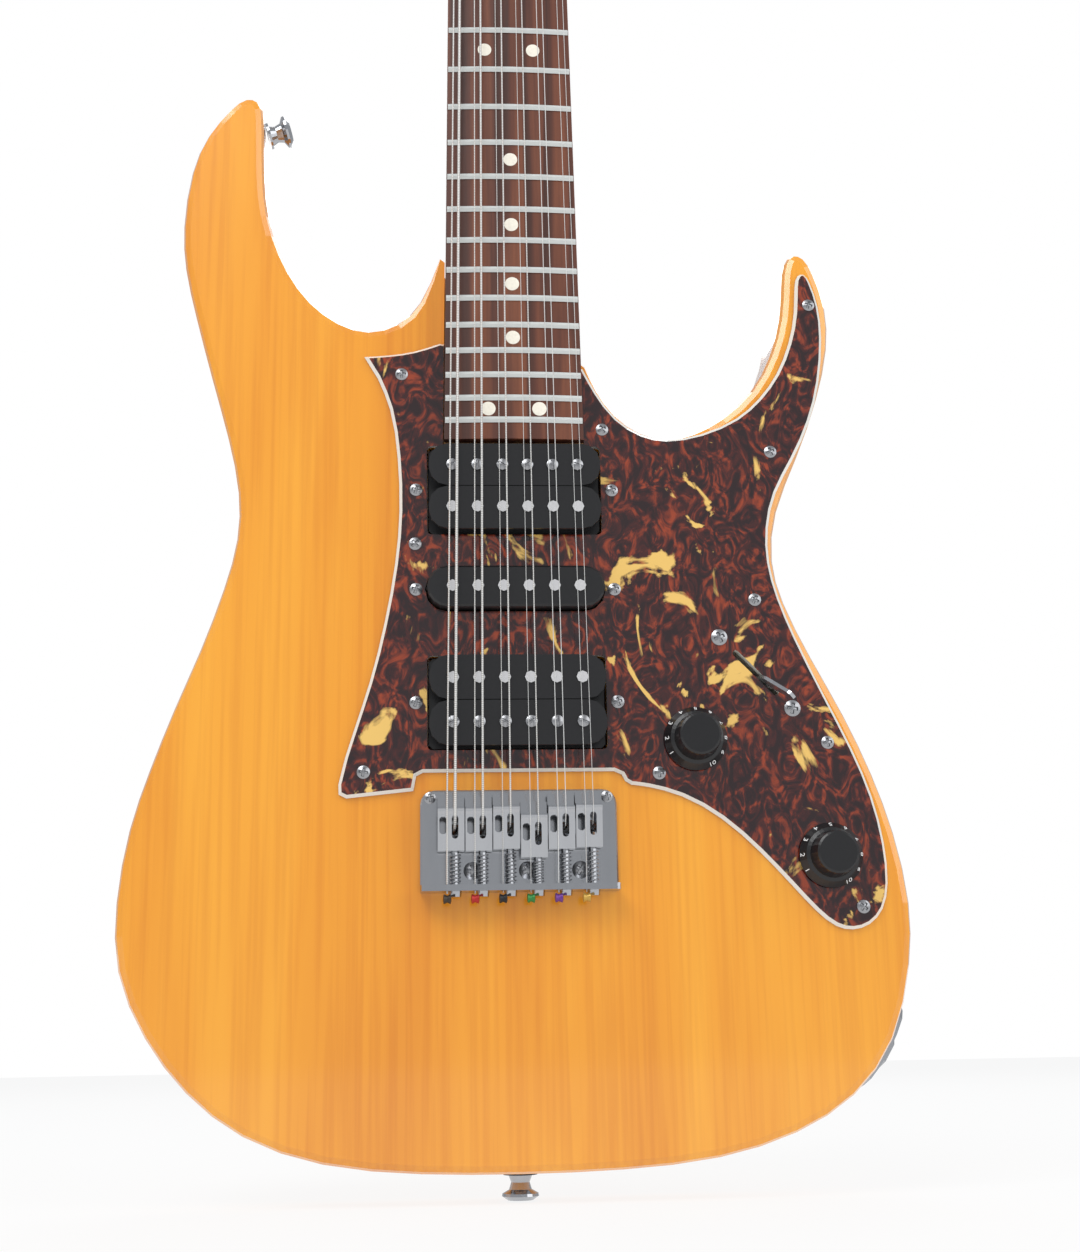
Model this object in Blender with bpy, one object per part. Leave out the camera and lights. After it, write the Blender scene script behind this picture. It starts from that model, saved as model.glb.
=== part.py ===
"""Twelve-string solid-body electric guitar, upright, in metres.

+Z runs from the tail up the neck, -Y is the front and +X is the treble side. The origin is the middle of the
outer face of the tail strap button, and the body's middle thickness lies in the plane y = 0. Heights named
"up" are measured from the body's tail edge along the neck.
"""

import math

import bmesh
import bpy
import numpy as np
from mathutils import Matrix, Vector

MM = 0.001
GAP = 0.3 * MM

# Scale and neck
SCALE_LENGTH = 648.0 * MM
SADDLE_UP = 133.2 * MM
FRETS = 24
NUT_WIDTH = 46.0 * MM
LAST_FRET_WIDTH = 57.6 * MM
BOARD_OVERHANG = 8.2 * MM
BOARD_THICKNESS = 6.0 * MM
BOARD_RADIUS = 305.0 * MM
FRET_HEIGHT = 1.1 * MM
FRET_WIDTH = 2.6 * MM
NECK_PROUD = 3.0 * MM
SHAFT_DEPTH_NUT = 14.5 * MM
SHAFT_DEPTH_HEEL = 16.5 * MM
HEEL_LENGTH = 84.0 * MM
NUT_THICKNESS = 4.6 * MM

# Body
BODY_THICKNESS = 44.0 * MM
EDGE_RADIUS = 3.2 * MM
BUTTON_REACH = 10.5 * MM
POCKET_DEPTH = 16.0 * MM
POCKET_WALL = 2.3 * MM
BELLY_DEPTH = 14.0 * MM
BELLY_REACH = 78.0 * MM
BELLY_RADIUS = 230.0 * MM
WAIST_AT = (-116.0 * MM, 262.0 * MM)
CONTROL_ROUT_DEPTH = 31.0 * MM
PICKUP_ROUT_DEPTH = 19.0 * MM
STRING_HOLE_RADIUS = 2.4 * MM
NECK_PLATE_WIDTH = 51.0 * MM
NECK_PLATE_LENGTH = 64.0 * MM

# Jack and horn button, places as (x, up)
JACK_AT = (144.2 * MM, 42.2 * MM)
JACK_ANGLE = math.radians(-32.0)
JACK_PLATE_LENGTH = 35.0 * MM
JACK_PLATE_WIDTH = 26.0 * MM
JACK_PLATE_THICKNESS = 1.6 * MM
JACK_CURVE = 130.0 * MM
JACK_BARREL_RADIUS = 6.0 * MM
JACK_BARREL_LENGTH = 22.0 * MM
JACK_HOLE_RADIUS = 3.25 * MM
HORN_BUTTON_AT = (-106.6 * MM, 439.0 * MM)
HORN_BUTTON_ANGLE = math.radians(17.0)

# Pickguard and what it carries
GUARD_THICKNESS = 2.4 * MM
GUARD_BEVEL = 1.3 * MM
GUARD_CLEARANCE = 0.5 * MM
HUMBUCKER_SIZE = (72.0 * MM, 38.0 * MM)
SINGLE_SIZE = (73.6 * MM, 18.4 * MM)
NECK_PICKUP_BELOW_BOARD = 20.3 * MM
BRIDGE_PICKUP_ABOVE_SADDLES = 45.0 * MM
MIDDLE_PICKUP_SHARE = 0.524
PICKUP_CLEARANCE = 0.8 * MM
PICKUP_BELOW_STRINGS = 3.2 * MM
POLE_PITCH = 10.3 * MM
POLE_RADIUS = 2.4 * MM
POLE_ROW_FROM_MIDDLE = 8.9 * MM
POLE_PROUD = 0.7 * MM
VOLUME_AT = (71.1 * MM, 162.9 * MM)
TONE_AT = (123.0 * MM, 116.4 * MM)
KNOB_SKIRT_RADIUS = 12.7 * MM
KNOB_CAP_RADIUS = 9.2 * MM
KNOB_HEIGHT = 14.0 * MM
SHAFT_RADIUS = 3.0 * MM
POT_RADIUS = 12.0 * MM
POT_DEPTH = 10.0 * MM
SLOT_AT = (96.9 * MM, 189.8 * MM)
SLOT_ANGLE = math.radians(-45.8)
SLOT_LENGTH = 25.0 * MM
SLOT_WIDTH = 2.6 * MM
LEVER_THICKNESS = 1.4 * MM
LEVER_WIDTH = 5.6 * MM
LEVER_REACH = 18.0 * MM
LEVER_JOG = 5.6 * MM
LEVER_PIVOT_DEPTH = 12.0 * MM
LEVER_LEAN = math.radians(20.0)
FRAME_DEPTH = 18.0 * MM

# Bridge
BRIDGE_WIDTH = 77.4 * MM
BRIDGE_REAR_UP = 103.8 * MM
BRIDGE_LENGTH = 39.6 * MM
BRIDGE_THICKNESS = 2.0 * MM
FLANGE_HEIGHT = 9.4 * MM
FLANGE_THICKNESS = 2.4 * MM
COURSES = 6
COURSE_PITCH = 10.75 * MM
NUT_COURSE_PITCH = 7.75 * MM
PAIR_SPACING = 3.1 * MM
NUT_PAIR_SPACING = 2.2 * MM
SADDLE_GAP = 0.4 * MM
SADDLE_LENGTH = 21.5 * MM
SADDLE_STEP = 5.6 * MM
SADDLE_WALL = 1.5 * MM
SADDLE_FALL = 1.6 * MM
SADDLE_TRAVEL = 3.0 * MM
SADDLE_STAGGER = (0.0, -0.1, 0.5, -2.8, 0.3, 0.9)
STRING_ABOVE_BODY = 13.0 * MM
INTONATION_RADIUS = 1.3 * MM

# Headstock and tuners
HEAD_TILT = math.radians(12.0)
HEAD_LENGTH = 186.0 * MM
HEAD_HALF = 38.0 * MM
HEAD_THICKNESS = 14.5 * MM
TUNERS_A_SIDE = 6
TUNER_FIRST = 34.0 * MM
TUNER_PITCH = 25.0 * MM
POST_OFFSET = 27.0 * MM
POST_RADIUS = 3.2 * MM
POST_WAIST = 2.7 * MM
POST_HEIGHT = 15.0 * MM
STRIP_WIDTH = 16.0 * MM
STRIP_THICKNESS = 1.4 * MM
HOUSING_DEPTH = 7.0 * MM
HOUSING_LENGTH = 18.0 * MM
WORM_OFFSET = 4.6 * MM
WORM_RADIUS = 2.0 * MM
BUTTON_STEM = 11.0 * MM
BUTTON_LENGTH = 17.0 * MM
BUTTON_HALF_WIDTH = 9.0 * MM
BUTTON_HALF_THICKNESS = 4.2 * MM
WINDING_TURNS = 2.0
WINDING_POINTS = 9
WINDING_CLEARANCE = 0.35 * MM
WINDING_GAP = 0.5 * MM

# String diameters in pairs from the bass side: the left one of a pair, then the right one
STRING_PAIRS = (
    (0.66 * MM, 1.17 * MM),
    (0.46 * MM, 0.91 * MM),
    (0.30 * MM, 0.66 * MM),
    (0.25 * MM, 0.51 * MM),
    (0.36 * MM, 0.36 * MM),
    (0.25 * MM, 0.25 * MM),
)

# Planes along Y
FRONT = -BODY_THICKNESS / 2
BACK = BODY_THICKNESS / 2
GUARD_BACK = FRONT - GAP
GUARD_FRONT = GUARD_BACK - GUARD_THICKNESS
NECK_TOP = FRONT - NECK_PROUD
BOARD_BACK = NECK_TOP - GAP
BOARD_FRONT = BOARD_BACK - BOARD_THICKNESS
POCKET_FLOOR = FRONT + POCKET_DEPTH
STRING_AT_NUT = BOARD_FRONT - FRET_HEIGHT - 0.5 * MM
STRING_AT_SADDLE = FRONT - STRING_ABOVE_BODY

# Places along Z
TAIL = BUTTON_REACH
SADDLE_LINE = TAIL + SADDLE_UP
NUT_LINE = SADDLE_LINE + SCALE_LENGTH
LAST_FRET = NUT_LINE - SCALE_LENGTH * (1 - 2 ** (-FRETS / 12))
BOARD_END = LAST_FRET - BOARD_OVERHANG
HEEL_TOP = BOARD_END + HEEL_LENGTH
NECK_PICKUP_UP = BOARD_END - TAIL - NECK_PICKUP_BELOW_BOARD
BRIDGE_PICKUP_UP = SADDLE_UP + BRIDGE_PICKUP_ABOVE_SADDLES
MIDDLE_PICKUP_UP = BRIDGE_PICKUP_UP + MIDDLE_PICKUP_SHARE * (NECK_PICKUP_UP - BRIDGE_PICKUP_UP)


def neck_half(z):
    """Half the neck's width at height z."""
    share = (NUT_LINE - z) / (NUT_LINE - LAST_FRET)
    return (NUT_WIDTH + (LAST_FRET_WIDTH - NUT_WIDTH) * share) / 2


BASS_JOINT_UP = 371.0 * MM
TREBLE_JOINT_UP = 321.9 * MM
BASS_JOINT = (-neck_half(TAIL + BASS_JOINT_UP) - POCKET_WALL, BASS_JOINT_UP)
TREBLE_JOINT = (neck_half(TAIL + TREBLE_JOINT_UP) + POCKET_WALL, TREBLE_JOINT_UP)

# Body outline, (x, up) in millimetres from the bass side of the neck round the tail to its treble side
BODY_EDGE = (
    (-38.6, 351.6), (-48.5, 341.7), (-60.6, 338.2), (-73.0, 341.8), (-84.8, 351.0), (-94.5, 364.7),
    (-101.5, 381.5), (-105.3, 399.9), (-106.5, 421.4), (-107.0, 437.0), (-109.2, 445.2), (-114.6, 446.6),
    (-121.5, 441.2), (-130.4, 428.8), (-136.8, 411.0), (-139.5, 385.6), (-138.0, 366.0), (-132.9, 343.9),
    (-125.5, 316.8), (-118.0, 290.3), (-113.2, 267.0), (-113.2, 247.0), (-118.0, 226.2), (-126.4, 201.3),
    (-136.0, 177.0), (-144.6, 153.1), (-151.5, 129.7), (-155.3, 102.0), (-153.5, 76.0), (-142.5, 51.5),
    (-126.5, 31.5), (-105.0, 15.5), (-75.0, 5.0), (-38.0, 0.8), (0.0, 0.0), (38.0, 0.8), (75.0, 4.4),
    (105.0, 12.8), (128.0, 26.0), (144.5, 46.5), (153.0, 74.0), (154.6, 98.0), (150.3, 125.4),
    (143.1, 148.9), (133.2, 172.7), (121.1, 197.0), (111.0, 220.0), (107.2, 238.0), (110.0, 259.0),
    (120.0, 283.0), (130.0, 309.0), (135.8, 332.0), (136.2, 351.0), (132.4, 366.0), (128.2, 374.0),
    (123.4, 375.6), (119.8, 371.5), (118.0, 362.0), (116.2, 346.0), (111.0, 328.5), (101.8, 312.3),
    (88.5, 300.0), (76.0, 293.2), (64.7, 290.9), (53.6, 293.6), (43.5, 301.0), (35.6, 311.6),
)

# Pickguard outline in the same units, as stretches between its corners
GUARD_TOP = ((-62.1, 325.4), (-51.8, 326.2), (-41.2, 328.0), (-30.5, 331.6))
GUARD_WING = (
    (29.8, 320.6), (35.3, 309.9), (43.4, 298.6), (53.7, 291.6), (64.5, 289.4), (79.2, 292.0), (94.4, 299.0),
    (104.6, 308.0), (112.6, 319.0), (118.6, 333.0), (121.8, 347.0), (122.8, 359.0), (124.4, 364.4),
    (127.0, 365.2), (129.6, 361.0), (132.4, 350.0), (133.0, 335.0), (130.6, 315.5), (125.4, 297.6),
    (117.5, 281.0), (109.4, 266.0), (105.4, 251.0), (105.2, 236.0), (108.4, 221.0), (114.6, 203.9),
    (125.3, 179.6), (134.8, 158.5), (141.6, 139.5), (145.2, 121.0), (145.6, 105.5), (142.9, 95.6),
    (137.4, 89.8), (130.6, 87.8), (124.0, 89.3), (116.5, 95.2), (107.2, 105.4), (95.0, 118.6),
    (80.7, 131.4), (65.1, 140.4), (52.0, 144.2), (45.0, 145.2),
)
GUARD_STEP = ((42.6, 146.6), (41.3, 149.2), (38.2, 150.6))
GUARD_STEP_BASS = ((-37.6, 150.6), (-40.3, 149.2), (-41.4, 143.4))
GUARD_FOOT = ((-67.6, 140.7), (-70.6, 142.2), (-70.8, 146.0))
GUARD_BASS_SIDE = (
    (-68.3, 156.5), (-64.4, 169.0), (-58.8, 187.0), (-53.1, 210.8), (-48.9, 235.7), (-47.2, 258.0),
    (-48.0, 281.0), (-51.2, 302.0), (-56.5, 316.0),
)
CONTROL_ROUT = (
    (46.0, 160.0), (60.0, 149.0), (78.0, 142.0), (98.0, 128.0), (114.0, 104.0), (130.0, 98.0),
    (139.0, 108.0), (137.0, 134.0), (126.0, 164.0), (118.0, 186.0), (104.0, 208.0), (88.0, 214.0),
    (74.0, 204.0), (62.0, 184.0), (48.0, 178.0),
)


def clear_scene():
    for old in list(bpy.data.objects):
        bpy.data.objects.remove(old, do_unlink=True)


def material(name, color, roughness, metallic=0.0):
    """A Principled material of one colour."""
    made = bpy.data.materials.new(name)
    made.use_nodes = True
    shader = made.node_tree.nodes["Principled BSDF"]
    shader.inputs["Base Color"].default_value = (*color, 1.0)
    shader.inputs["Roughness"].default_value = roughness
    shader.inputs["Metallic"].default_value = metallic
    made.diffuse_color = (*color, 1.0)
    return made


def spline(points, steps=3):
    """Points of a smooth cubic curve through the given ones, with this many steps from each to the next."""
    knots = np.array(points, float)
    count = len(knots)
    gaps = np.sqrt(np.linalg.norm(np.diff(knots, axis=0), axis=1))
    system = np.zeros((count, count))
    right = np.zeros((count, knots.shape[1]))
    system[0, 0] = system[-1, -1] = 1.0
    for i in range(1, count - 1):
        system[i, i - 1] = gaps[i - 1]
        system[i, i] = 2 * (gaps[i - 1] + gaps[i])
        system[i, i + 1] = gaps[i]
        ahead = (knots[i + 1] - knots[i]) / gaps[i]
        behind = (knots[i] - knots[i - 1]) / gaps[i - 1]
        right[i] = 6 * (ahead - behind)
    bend = np.linalg.solve(system, right)
    made = []
    for i, gap in enumerate(gaps):
        for step in range(steps):
            t = gap * step / steps
            rest = gap - t
            value = (bend[i] * rest**3 + bend[i + 1] * t**3) / (6 * gap)
            value += (knots[i] / gap - bend[i] * gap / 6) * rest
            value += (knots[i + 1] / gap - bend[i + 1] * gap / 6) * t
            made.append(tuple(value))
    made.append(tuple(knots[-1]))
    return made


def in_metres(points):
    return [(x * MM, up * MM) for x, up in points]


def arc(middle, radius, start, end, steps):
    """Points of an arc round middle from one angle to another, both in radians."""
    angles = [start + (end - start) * i / steps for i in range(steps + 1)]
    return [(middle[0] + radius * math.cos(a), middle[1] + radius * math.sin(a)) for a in angles]


def rounded_box(width, height, radius, middle=(0.0, 0.0), steps=3, turn=0.0):
    """Outline of a rectangle with round corners, turned by an angle about its middle."""
    points = []
    for side, (sx, sy) in enumerate(((1, 1), (-1, 1), (-1, -1), (1, -1))):
        corner = (sx * (width / 2 - radius), sy * (height / 2 - radius))
        points += arc(corner, radius, side * math.pi / 2, (side + 1) * math.pi / 2, steps)
    c, s = math.cos(turn), math.sin(turn)
    return [(middle[0] + x * c - y * s, middle[1] + x * s + y * c) for x, y in points]


def circle(radius, middle=(0.0, 0.0), sides=16):
    return arc(middle, radius, 0.0, 2 * math.pi, sides)[:-1]


def offset(outline, distances):
    """The closed outline moved inwards at each point by its own distance, or by one for all."""
    points = np.array(outline)
    if np.isscalar(distances):
        distances = np.full(len(points), distances)
    ahead = np.roll(points, -1, axis=0) - points
    ahead /= np.linalg.norm(ahead, axis=1)[:, None]
    behind = np.roll(ahead, 1, axis=0)
    area = sum(a[0] * b[1] - b[0] * a[1] for a, b in zip(points, np.roll(points, -1, axis=0)))
    turn = 1.0 if area > 0 else -1.0
    normal = np.stack([-(ahead + behind)[:, 1], (ahead + behind)[:, 0]], axis=1) * turn
    normal /= np.linalg.norm(normal, axis=1)[:, None]
    side = np.stack([-ahead[:, 1], ahead[:, 0]], axis=1) * turn
    stretch = 1.0 / np.clip((normal * side).sum(axis=1), 0.5, 1.0)
    return [tuple(p) for p in points + normal * (distances * stretch)[:, None]]


def new_object(name, points, faces, finish=None):
    """A mesh object with its faces turned outwards."""
    mesh = bpy.data.meshes.new(name)
    mesh.from_pydata([tuple(p) for p in points], [], faces)
    shaper = bmesh.new()
    shaper.from_mesh(mesh)
    bmesh.ops.recalc_face_normals(shaper, faces=shaper.faces)
    shaper.to_mesh(mesh)
    shaper.free()
    made = bpy.data.objects.new(name, mesh)
    bpy.context.scene.collection.objects.link(made)
    if finish:
        mesh.materials.append(finish)
    return made


def loft(name, rings, finish=None):
    """A closed solid through rings of equally many points."""
    count = len(rings[0])
    points = [p for ring in rings for p in ring]
    faces = [tuple(range(count)), tuple(range((len(rings) - 1) * count, len(rings) * count))[::-1]]
    for level in range(len(rings) - 1):
        for i in range(count):
            j = (i + 1) % count
            low, high = level * count, (level + 1) * count
            faces.append((low + i, high + i, high + j, low + j))
    return new_object(name, points, faces, finish)


def panel(name, outline, y_front, y_back, finish=None):
    """A plate with the outline given as (x, up), between two planes across Y."""
    return loft(name, [[(x, y, TAIL + up) for x, up in outline] for y in (y_front, y_back)], finish)


def slab(name, x_low, x_high, y_low, y_high, z_low, z_high):
    outline = ((x_low, z_low), (x_high, z_low), (x_high, z_high), (x_low, z_high))
    return loft(name, [[(x, y, z) for x, z in outline] for y in (y_low, y_high)])


def turned(name, profile, sides, finish=None, place=None, flute=None):
    """A solid turned round its own Z from (radius, height) pairs, then put in place by a matrix."""
    rings = []
    for radius, height in profile:
        ring = []
        for i in range(sides):
            angle = 2 * math.pi * i / sides
            local = radius * (flute(i, height) if flute else 1.0)
            ring.append(Vector((local * math.cos(angle), local * math.sin(angle), height)))
        rings.append([(place @ p if place else p) for p in ring])
    return loft(name, rings, finish)


def evaluated_mesh(made):
    graph = bpy.context.evaluated_depsgraph_get()
    return bpy.data.meshes.new_from_object(made.evaluated_get(graph))


def combine(target, other, operation):
    """Cuts the other object from the target or joins the two, and removes the other."""
    step = target.modifiers.new(operation, "BOOLEAN")
    step.operation = operation
    step.solver = "EXACT"
    step.object = other
    bpy.context.view_layer.update()
    result = evaluated_mesh(target)
    target.modifiers.remove(step)
    old = target.data
    target.data = result
    bpy.data.meshes.remove(old)
    bpy.data.objects.remove(other, do_unlink=True)
    return target


def cut(target, *others):
    for other in others:
        combine(target, other, "DIFFERENCE")
    return target


def join(target, *others):
    for other in others:
        combine(target, other, "UNION")
    return target


def smooth(made, angle=35.0):
    made.data.shade_smooth()
    made.data.set_sharp_from_angle(angle=math.radians(angle))
    return made


def set_origin(made, place):
    """Moves the object's origin to its joint's axis and leaves its shape where it is."""
    made.data.transform(Matrix.Translation(-Vector(place)))
    made.location = place
    return made


def axis_frame(origin, axis, across):
    """Matrix that takes local Z to axis and local X to across, at origin."""
    z = Vector(axis).normalized()
    x = Vector(across).normalized()
    y = z.cross(x)
    return Matrix.Translation(origin) @ Matrix((x, y, z)).transposed().to_4x4()


def outwards(x, up, depth):
    """Frame at a place on the front whose local Z points to the viewer."""
    return axis_frame((x, depth, TAIL + up), (0, -1, 0), (1, 0, 0))


# Strings and their courses

def course_middle(course, pitch):
    return (course - (COURSES - 1) / 2) * pitch


def string_x(course, right, pitch, spacing):
    return course_middle(course, pitch) + (0.5 if right else -0.5) * spacing


def saddle_break(course):
    """Height along the neck where the strings of a course leave their saddle."""
    return SADDLE_LINE + 1.8 * MM + SADDLE_STAGGER[course] * MM


def string_depth(z):
    """Depth of the strings' undersides at height z."""
    share = (z - SADDLE_LINE) / SCALE_LENGTH
    return STRING_AT_SADDLE + (STRING_AT_NUT - STRING_AT_SADDLE) * share


# Body

def body_outline():
    points = [BASS_JOINT] + in_metres(BODY_EDGE) + [TREBLE_JOINT]
    return spline(points, 2)


def heel_outline(clearance, z_low, z_high):
    """Plan of the neck between two heights, grown all round by a clearance, as (x, up)."""
    low, high = z_low - clearance, z_high
    return [
        (-neck_half(low) - clearance, low - TAIL),
        (neck_half(low) + clearance, low - TAIL),
        (neck_half(high) + clearance, high - TAIL),
        (-neck_half(high) - clearance, high - TAIL),
    ]


def jack_frame():
    """Frame of the jack plate on the treble lower edge, local Z pointing out of the body."""
    outward = Vector((math.cos(JACK_ANGLE), 0, math.sin(JACK_ANGLE)))
    across = Vector((-math.sin(JACK_ANGLE), 0, math.cos(JACK_ANGLE)))
    place = Vector((JACK_AT[0], 0, TAIL + JACK_AT[1]))
    return axis_frame(place, outward, across)


def jack_surface():
    """How far the curved jack plate's back stands out of its frame's origin to clear the body's edge."""
    to_local = jack_frame().inverted()
    reach = []
    for x, up in body_outline():
        local = to_local @ Vector((x, 0, TAIL + up))
        if abs(local.x) < JACK_PLATE_LENGTH * 0.6:
            reach.append(local.z + local.x**2 / JACK_CURVE)
    return max(reach) + GAP


def make_body(finish):
    outline = body_outline()
    points = np.array(outline)
    lengths = np.concatenate([[0.0], np.cumsum(np.linalg.norm(np.diff(points, axis=0), axis=1))])
    from_end = np.minimum(lengths, lengths[-1] - lengths)
    radius = EDGE_RADIUS * np.clip(from_end / (30.0 * MM), 0.08, 1.0)
    rings = []
    for side in (-1, 1):
        turns = (0.0, 45.0, 90.0) if side < 0 else (90.0, 45.0, 0.0)
        for degrees in turns:
            angle = math.radians(degrees)
            inset = offset(outline, radius * (1 - math.sin(angle)))
            depth = BODY_THICKNESS / 2 - radius * (1 - math.cos(angle))
            rings.append([(x, side * d, TAIL + up) for (x, up), d in zip(inset, depth)])
    body = loft("body", rings, finish)
    cut(body, belly_cutter())
    cut(body, panel("pocket", heel_outline(GAP, BOARD_END, TAIL + 390 * MM), FRONT - 5 * MM, POCKET_FLOOR))
    for size, up, corner in pickup_places():
        outline = rounded_box(size[0], size[1], corner, (0.0, up))
        cut(body, panel("rout", outline, FRONT - 5 * MM, FRONT + PICKUP_ROUT_DEPTH))
    cut(body, panel("rout", in_metres(CONTROL_ROUT), FRONT - 5 * MM, FRONT + CONTROL_ROUT_DEPTH))
    cut(body, jack_cutter(), wire_channel())
    for course in range(COURSES):
        hole = turned(
            "hole", ((STRING_HOLE_RADIUS, -2 * BODY_THICKNESS), (STRING_HOLE_RADIUS, 2 * BODY_THICKNESS)), 8,
            place=outwards(string_x(course, True, COURSE_PITCH, PAIR_SPACING), string_hole_up(course), 0.0),
        )
        cut(body, hole)
    return smooth(body, 50.0)


def string_hole_up(course):
    """Where the string of a course drops through the plate and the body."""
    return saddle_break(course) - TAIL - 7.0 * MM


def pickup_places():
    """Opening size, height and corner radius of each pickup, from the neck to the bridge."""
    return (
        (HUMBUCKER_SIZE, NECK_PICKUP_UP, 2.0 * MM),
        (SINGLE_SIZE, MIDDLE_PICKUP_UP, SINGLE_SIZE[1] / 2 - 0.1 * MM),
        (HUMBUCKER_SIZE, BRIDGE_PICKUP_UP, 2.0 * MM),
    )


def belly_cutter():
    """Large drum that scoops the back beside the waist, deepest at the bass edge."""
    lean = math.atan2(BELLY_DEPTH, BELLY_REACH)
    middle = (WAIST_AT[0], BACK - BELLY_DEPTH + BELLY_RADIUS, TAIL + WAIST_AT[1])
    place = axis_frame(middle, (math.cos(lean), math.sin(lean), 0), (0, 0, 1))
    return turned("belly", ((BELLY_RADIUS, -BELLY_REACH), (BELLY_RADIUS, BELLY_REACH)), 96, place=place)


def jack_cutter():
    frame = jack_frame()
    radius = JACK_BARREL_RADIUS + 2.0 * MM
    return turned("jack_rout", ((radius, -JACK_BARREL_LENGTH - 8 * MM), (radius, 20 * MM)), 16, place=frame)


def wire_channel():
    """Drilled way from the jack's bore up to the control rout."""
    low = jack_frame() @ Vector((0, 0, -JACK_BARREL_LENGTH - 2 * MM))
    high = Vector((120 * MM, low.y, TAIL + 118 * MM))
    way = high - low
    place = axis_frame(low, way, way.cross((0, 1, 0)))
    return turned("channel", ((4 * MM, 0.0), (4 * MM, way.length)), 8, place=place)


# Neck

def neck_ring(z, half, top, depth, square, count=13):
    """One ring round the neck: flat on top, and from a round to a square back as square grows."""
    ring = []
    for i in range(count):
        t = math.pi * i / (count - 1)
        across = math.copysign(abs(math.cos(t)) ** (2 / square), math.cos(t))
        down = abs(math.sin(t)) ** (2 / square)
        ring.append((half * across, top + depth * down, z))
    return ring


def make_neck(finish):
    heel_depth = POCKET_FLOOR - GAP - NECK_TOP
    stations = (
        (BOARD_END, heel_depth, 14.0),
        (HEEL_TOP - 12 * MM, heel_depth, 14.0),
        (HEEL_TOP + 4 * MM, heel_depth - 0.6 * MM, 5.0),
        (HEEL_TOP + 22 * MM, SHAFT_DEPTH_HEEL + 0.4 * MM, 2.7),
        (HEEL_TOP + 60 * MM, SHAFT_DEPTH_HEEL, 2.3),
        (NUT_LINE - 70 * MM, SHAFT_DEPTH_NUT, 2.3),
        (NUT_LINE - 18 * MM, SHAFT_DEPTH_NUT, 2.4),
        (NUT_LINE + NUT_THICKNESS, SHAFT_DEPTH_NUT + 0.6 * MM, 2.7),
    )
    rings = [neck_ring(z, neck_half(z), NECK_TOP, depth, square) for z, depth, square in stations]
    half = neck_half(NUT_LINE + NUT_THICKNESS)
    volute = neck_ring(0.0, half + 1.0 * MM, 0.0, HEAD_THICKNESS + 0.8 * MM, 3.2)
    rings.append([tuple(head_frame() @ Vector((x, 16 * MM, -0.3 * MM - y * 0.96))) for x, y, _ in volute])
    neck = loft("neck", rings, finish)
    join(neck, make_head())
    for _, post_u, post_v in tuner_places():
        profile = ((POST_RADIUS + 0.6 * MM, -HEAD_THICKNESS - 5 * MM), (POST_RADIUS + 0.6 * MM, 5 * MM))
        cut(neck, turned("post_hole", profile, 12, place=head_place(post_u, post_v)))
    return smooth(neck)


def head_frame():
    """Frame of the headstock's face: local X across, Y up the head, Z out of its face."""
    along = Vector((0, math.sin(HEAD_TILT), math.cos(HEAD_TILT)))
    out = Vector((0, -math.cos(HEAD_TILT), math.sin(HEAD_TILT)))
    origin = Vector((0, NECK_TOP, NUT_LINE + NUT_THICKNESS))
    return Matrix.Translation(origin) @ Matrix((Vector((1, 0, 0)), along, out)).transposed().to_4x4()


def head_place(u, v):
    return head_frame() @ Matrix.Translation((u, v, 0))


def head_outline():
    """Half outline from the nut to the top, mirrored: a waist, straight sides and a low arched top."""
    nut_half = neck_half(NUT_LINE + NUT_THICKNESS)
    side = spline(
        ((nut_half, 1 * MM), (nut_half + 1 * MM, 7 * MM), (HEAD_HALF - 3 * MM, 21 * MM), (HEAD_HALF, 32 * MM)), 3
    )
    top = spline(
        (
            (HEAD_HALF - 1.0 * MM, HEAD_LENGTH - 22 * MM), (HEAD_HALF - 5 * MM, HEAD_LENGTH - 8 * MM),
            (HEAD_HALF * 0.6, HEAD_LENGTH - 3 * MM), (0.0, HEAD_LENGTH),
        ), 3,
    )
    right = side + top
    return right + [(-x, v) for x, v in reversed(right[:-1])]


def make_head():
    outline = head_outline()
    edge = 1.2 * MM
    rings = []
    for inset, height in (
        (edge, 0.0), (0.0, -edge), (0.0, edge - HEAD_THICKNESS), (edge, -HEAD_THICKNESS),
    ):
        rings.append([tuple(head_frame() @ Vector((x, v, height))) for x, v in offset(outline, inset)])
    return loft("head", rings)


def board_top(x, front=BOARD_FRONT):
    """Depth of the radiused board face at x."""
    return front + BOARD_RADIUS - math.sqrt(BOARD_RADIUS**2 - x * x)


def make_fretboard(finish):
    rings = []
    for z in (BOARD_END, NUT_LINE - GAP):
        half = neck_half(z)
        ring = [(-half, BOARD_BACK, z), (half, BOARD_BACK, z)]
        for i in range(5):
            x = half * (1 - i / 2)
            ring.append((x, board_top(x), z))
        rings.append(ring)
    board = loft("fretboard", rings, finish)
    frets = [make_fret(number) for number in range(1, FRETS + 1)]
    first = frets[0]
    shaper = bmesh.new()
    for fret in frets:
        shaper.from_mesh(fret.data)
    shaper.to_mesh(first.data)
    shaper.free()
    for fret in frets[1:]:
        bpy.data.objects.remove(fret, do_unlink=True)
    return join(board, first)


def fret_line(number):
    return NUT_LINE - SCALE_LENGTH * (1 - 2 ** (-number / 12))


def make_fret(number):
    """Fret wire with a rounded crown, following the board's radius."""
    z = fret_line(number)
    half = neck_half(z) - GAP
    rings = []
    for i in range(5):
        x = half * (i / 2 - 1)
        top = board_top(x)
        ring = [(x, top + 0.5 * MM, z - FRET_WIDTH / 2)]
        for share, rise in ((-1.0, 0.3), (0.0, 1.0), (1.0, 0.3)):
            ring.append((x, top - FRET_HEIGHT * rise, z + share * FRET_WIDTH / 2))
        ring.append((x, top + 0.5 * MM, z + FRET_WIDTH / 2))
        rings.append(ring)
    return loft("fret", rings)


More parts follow.
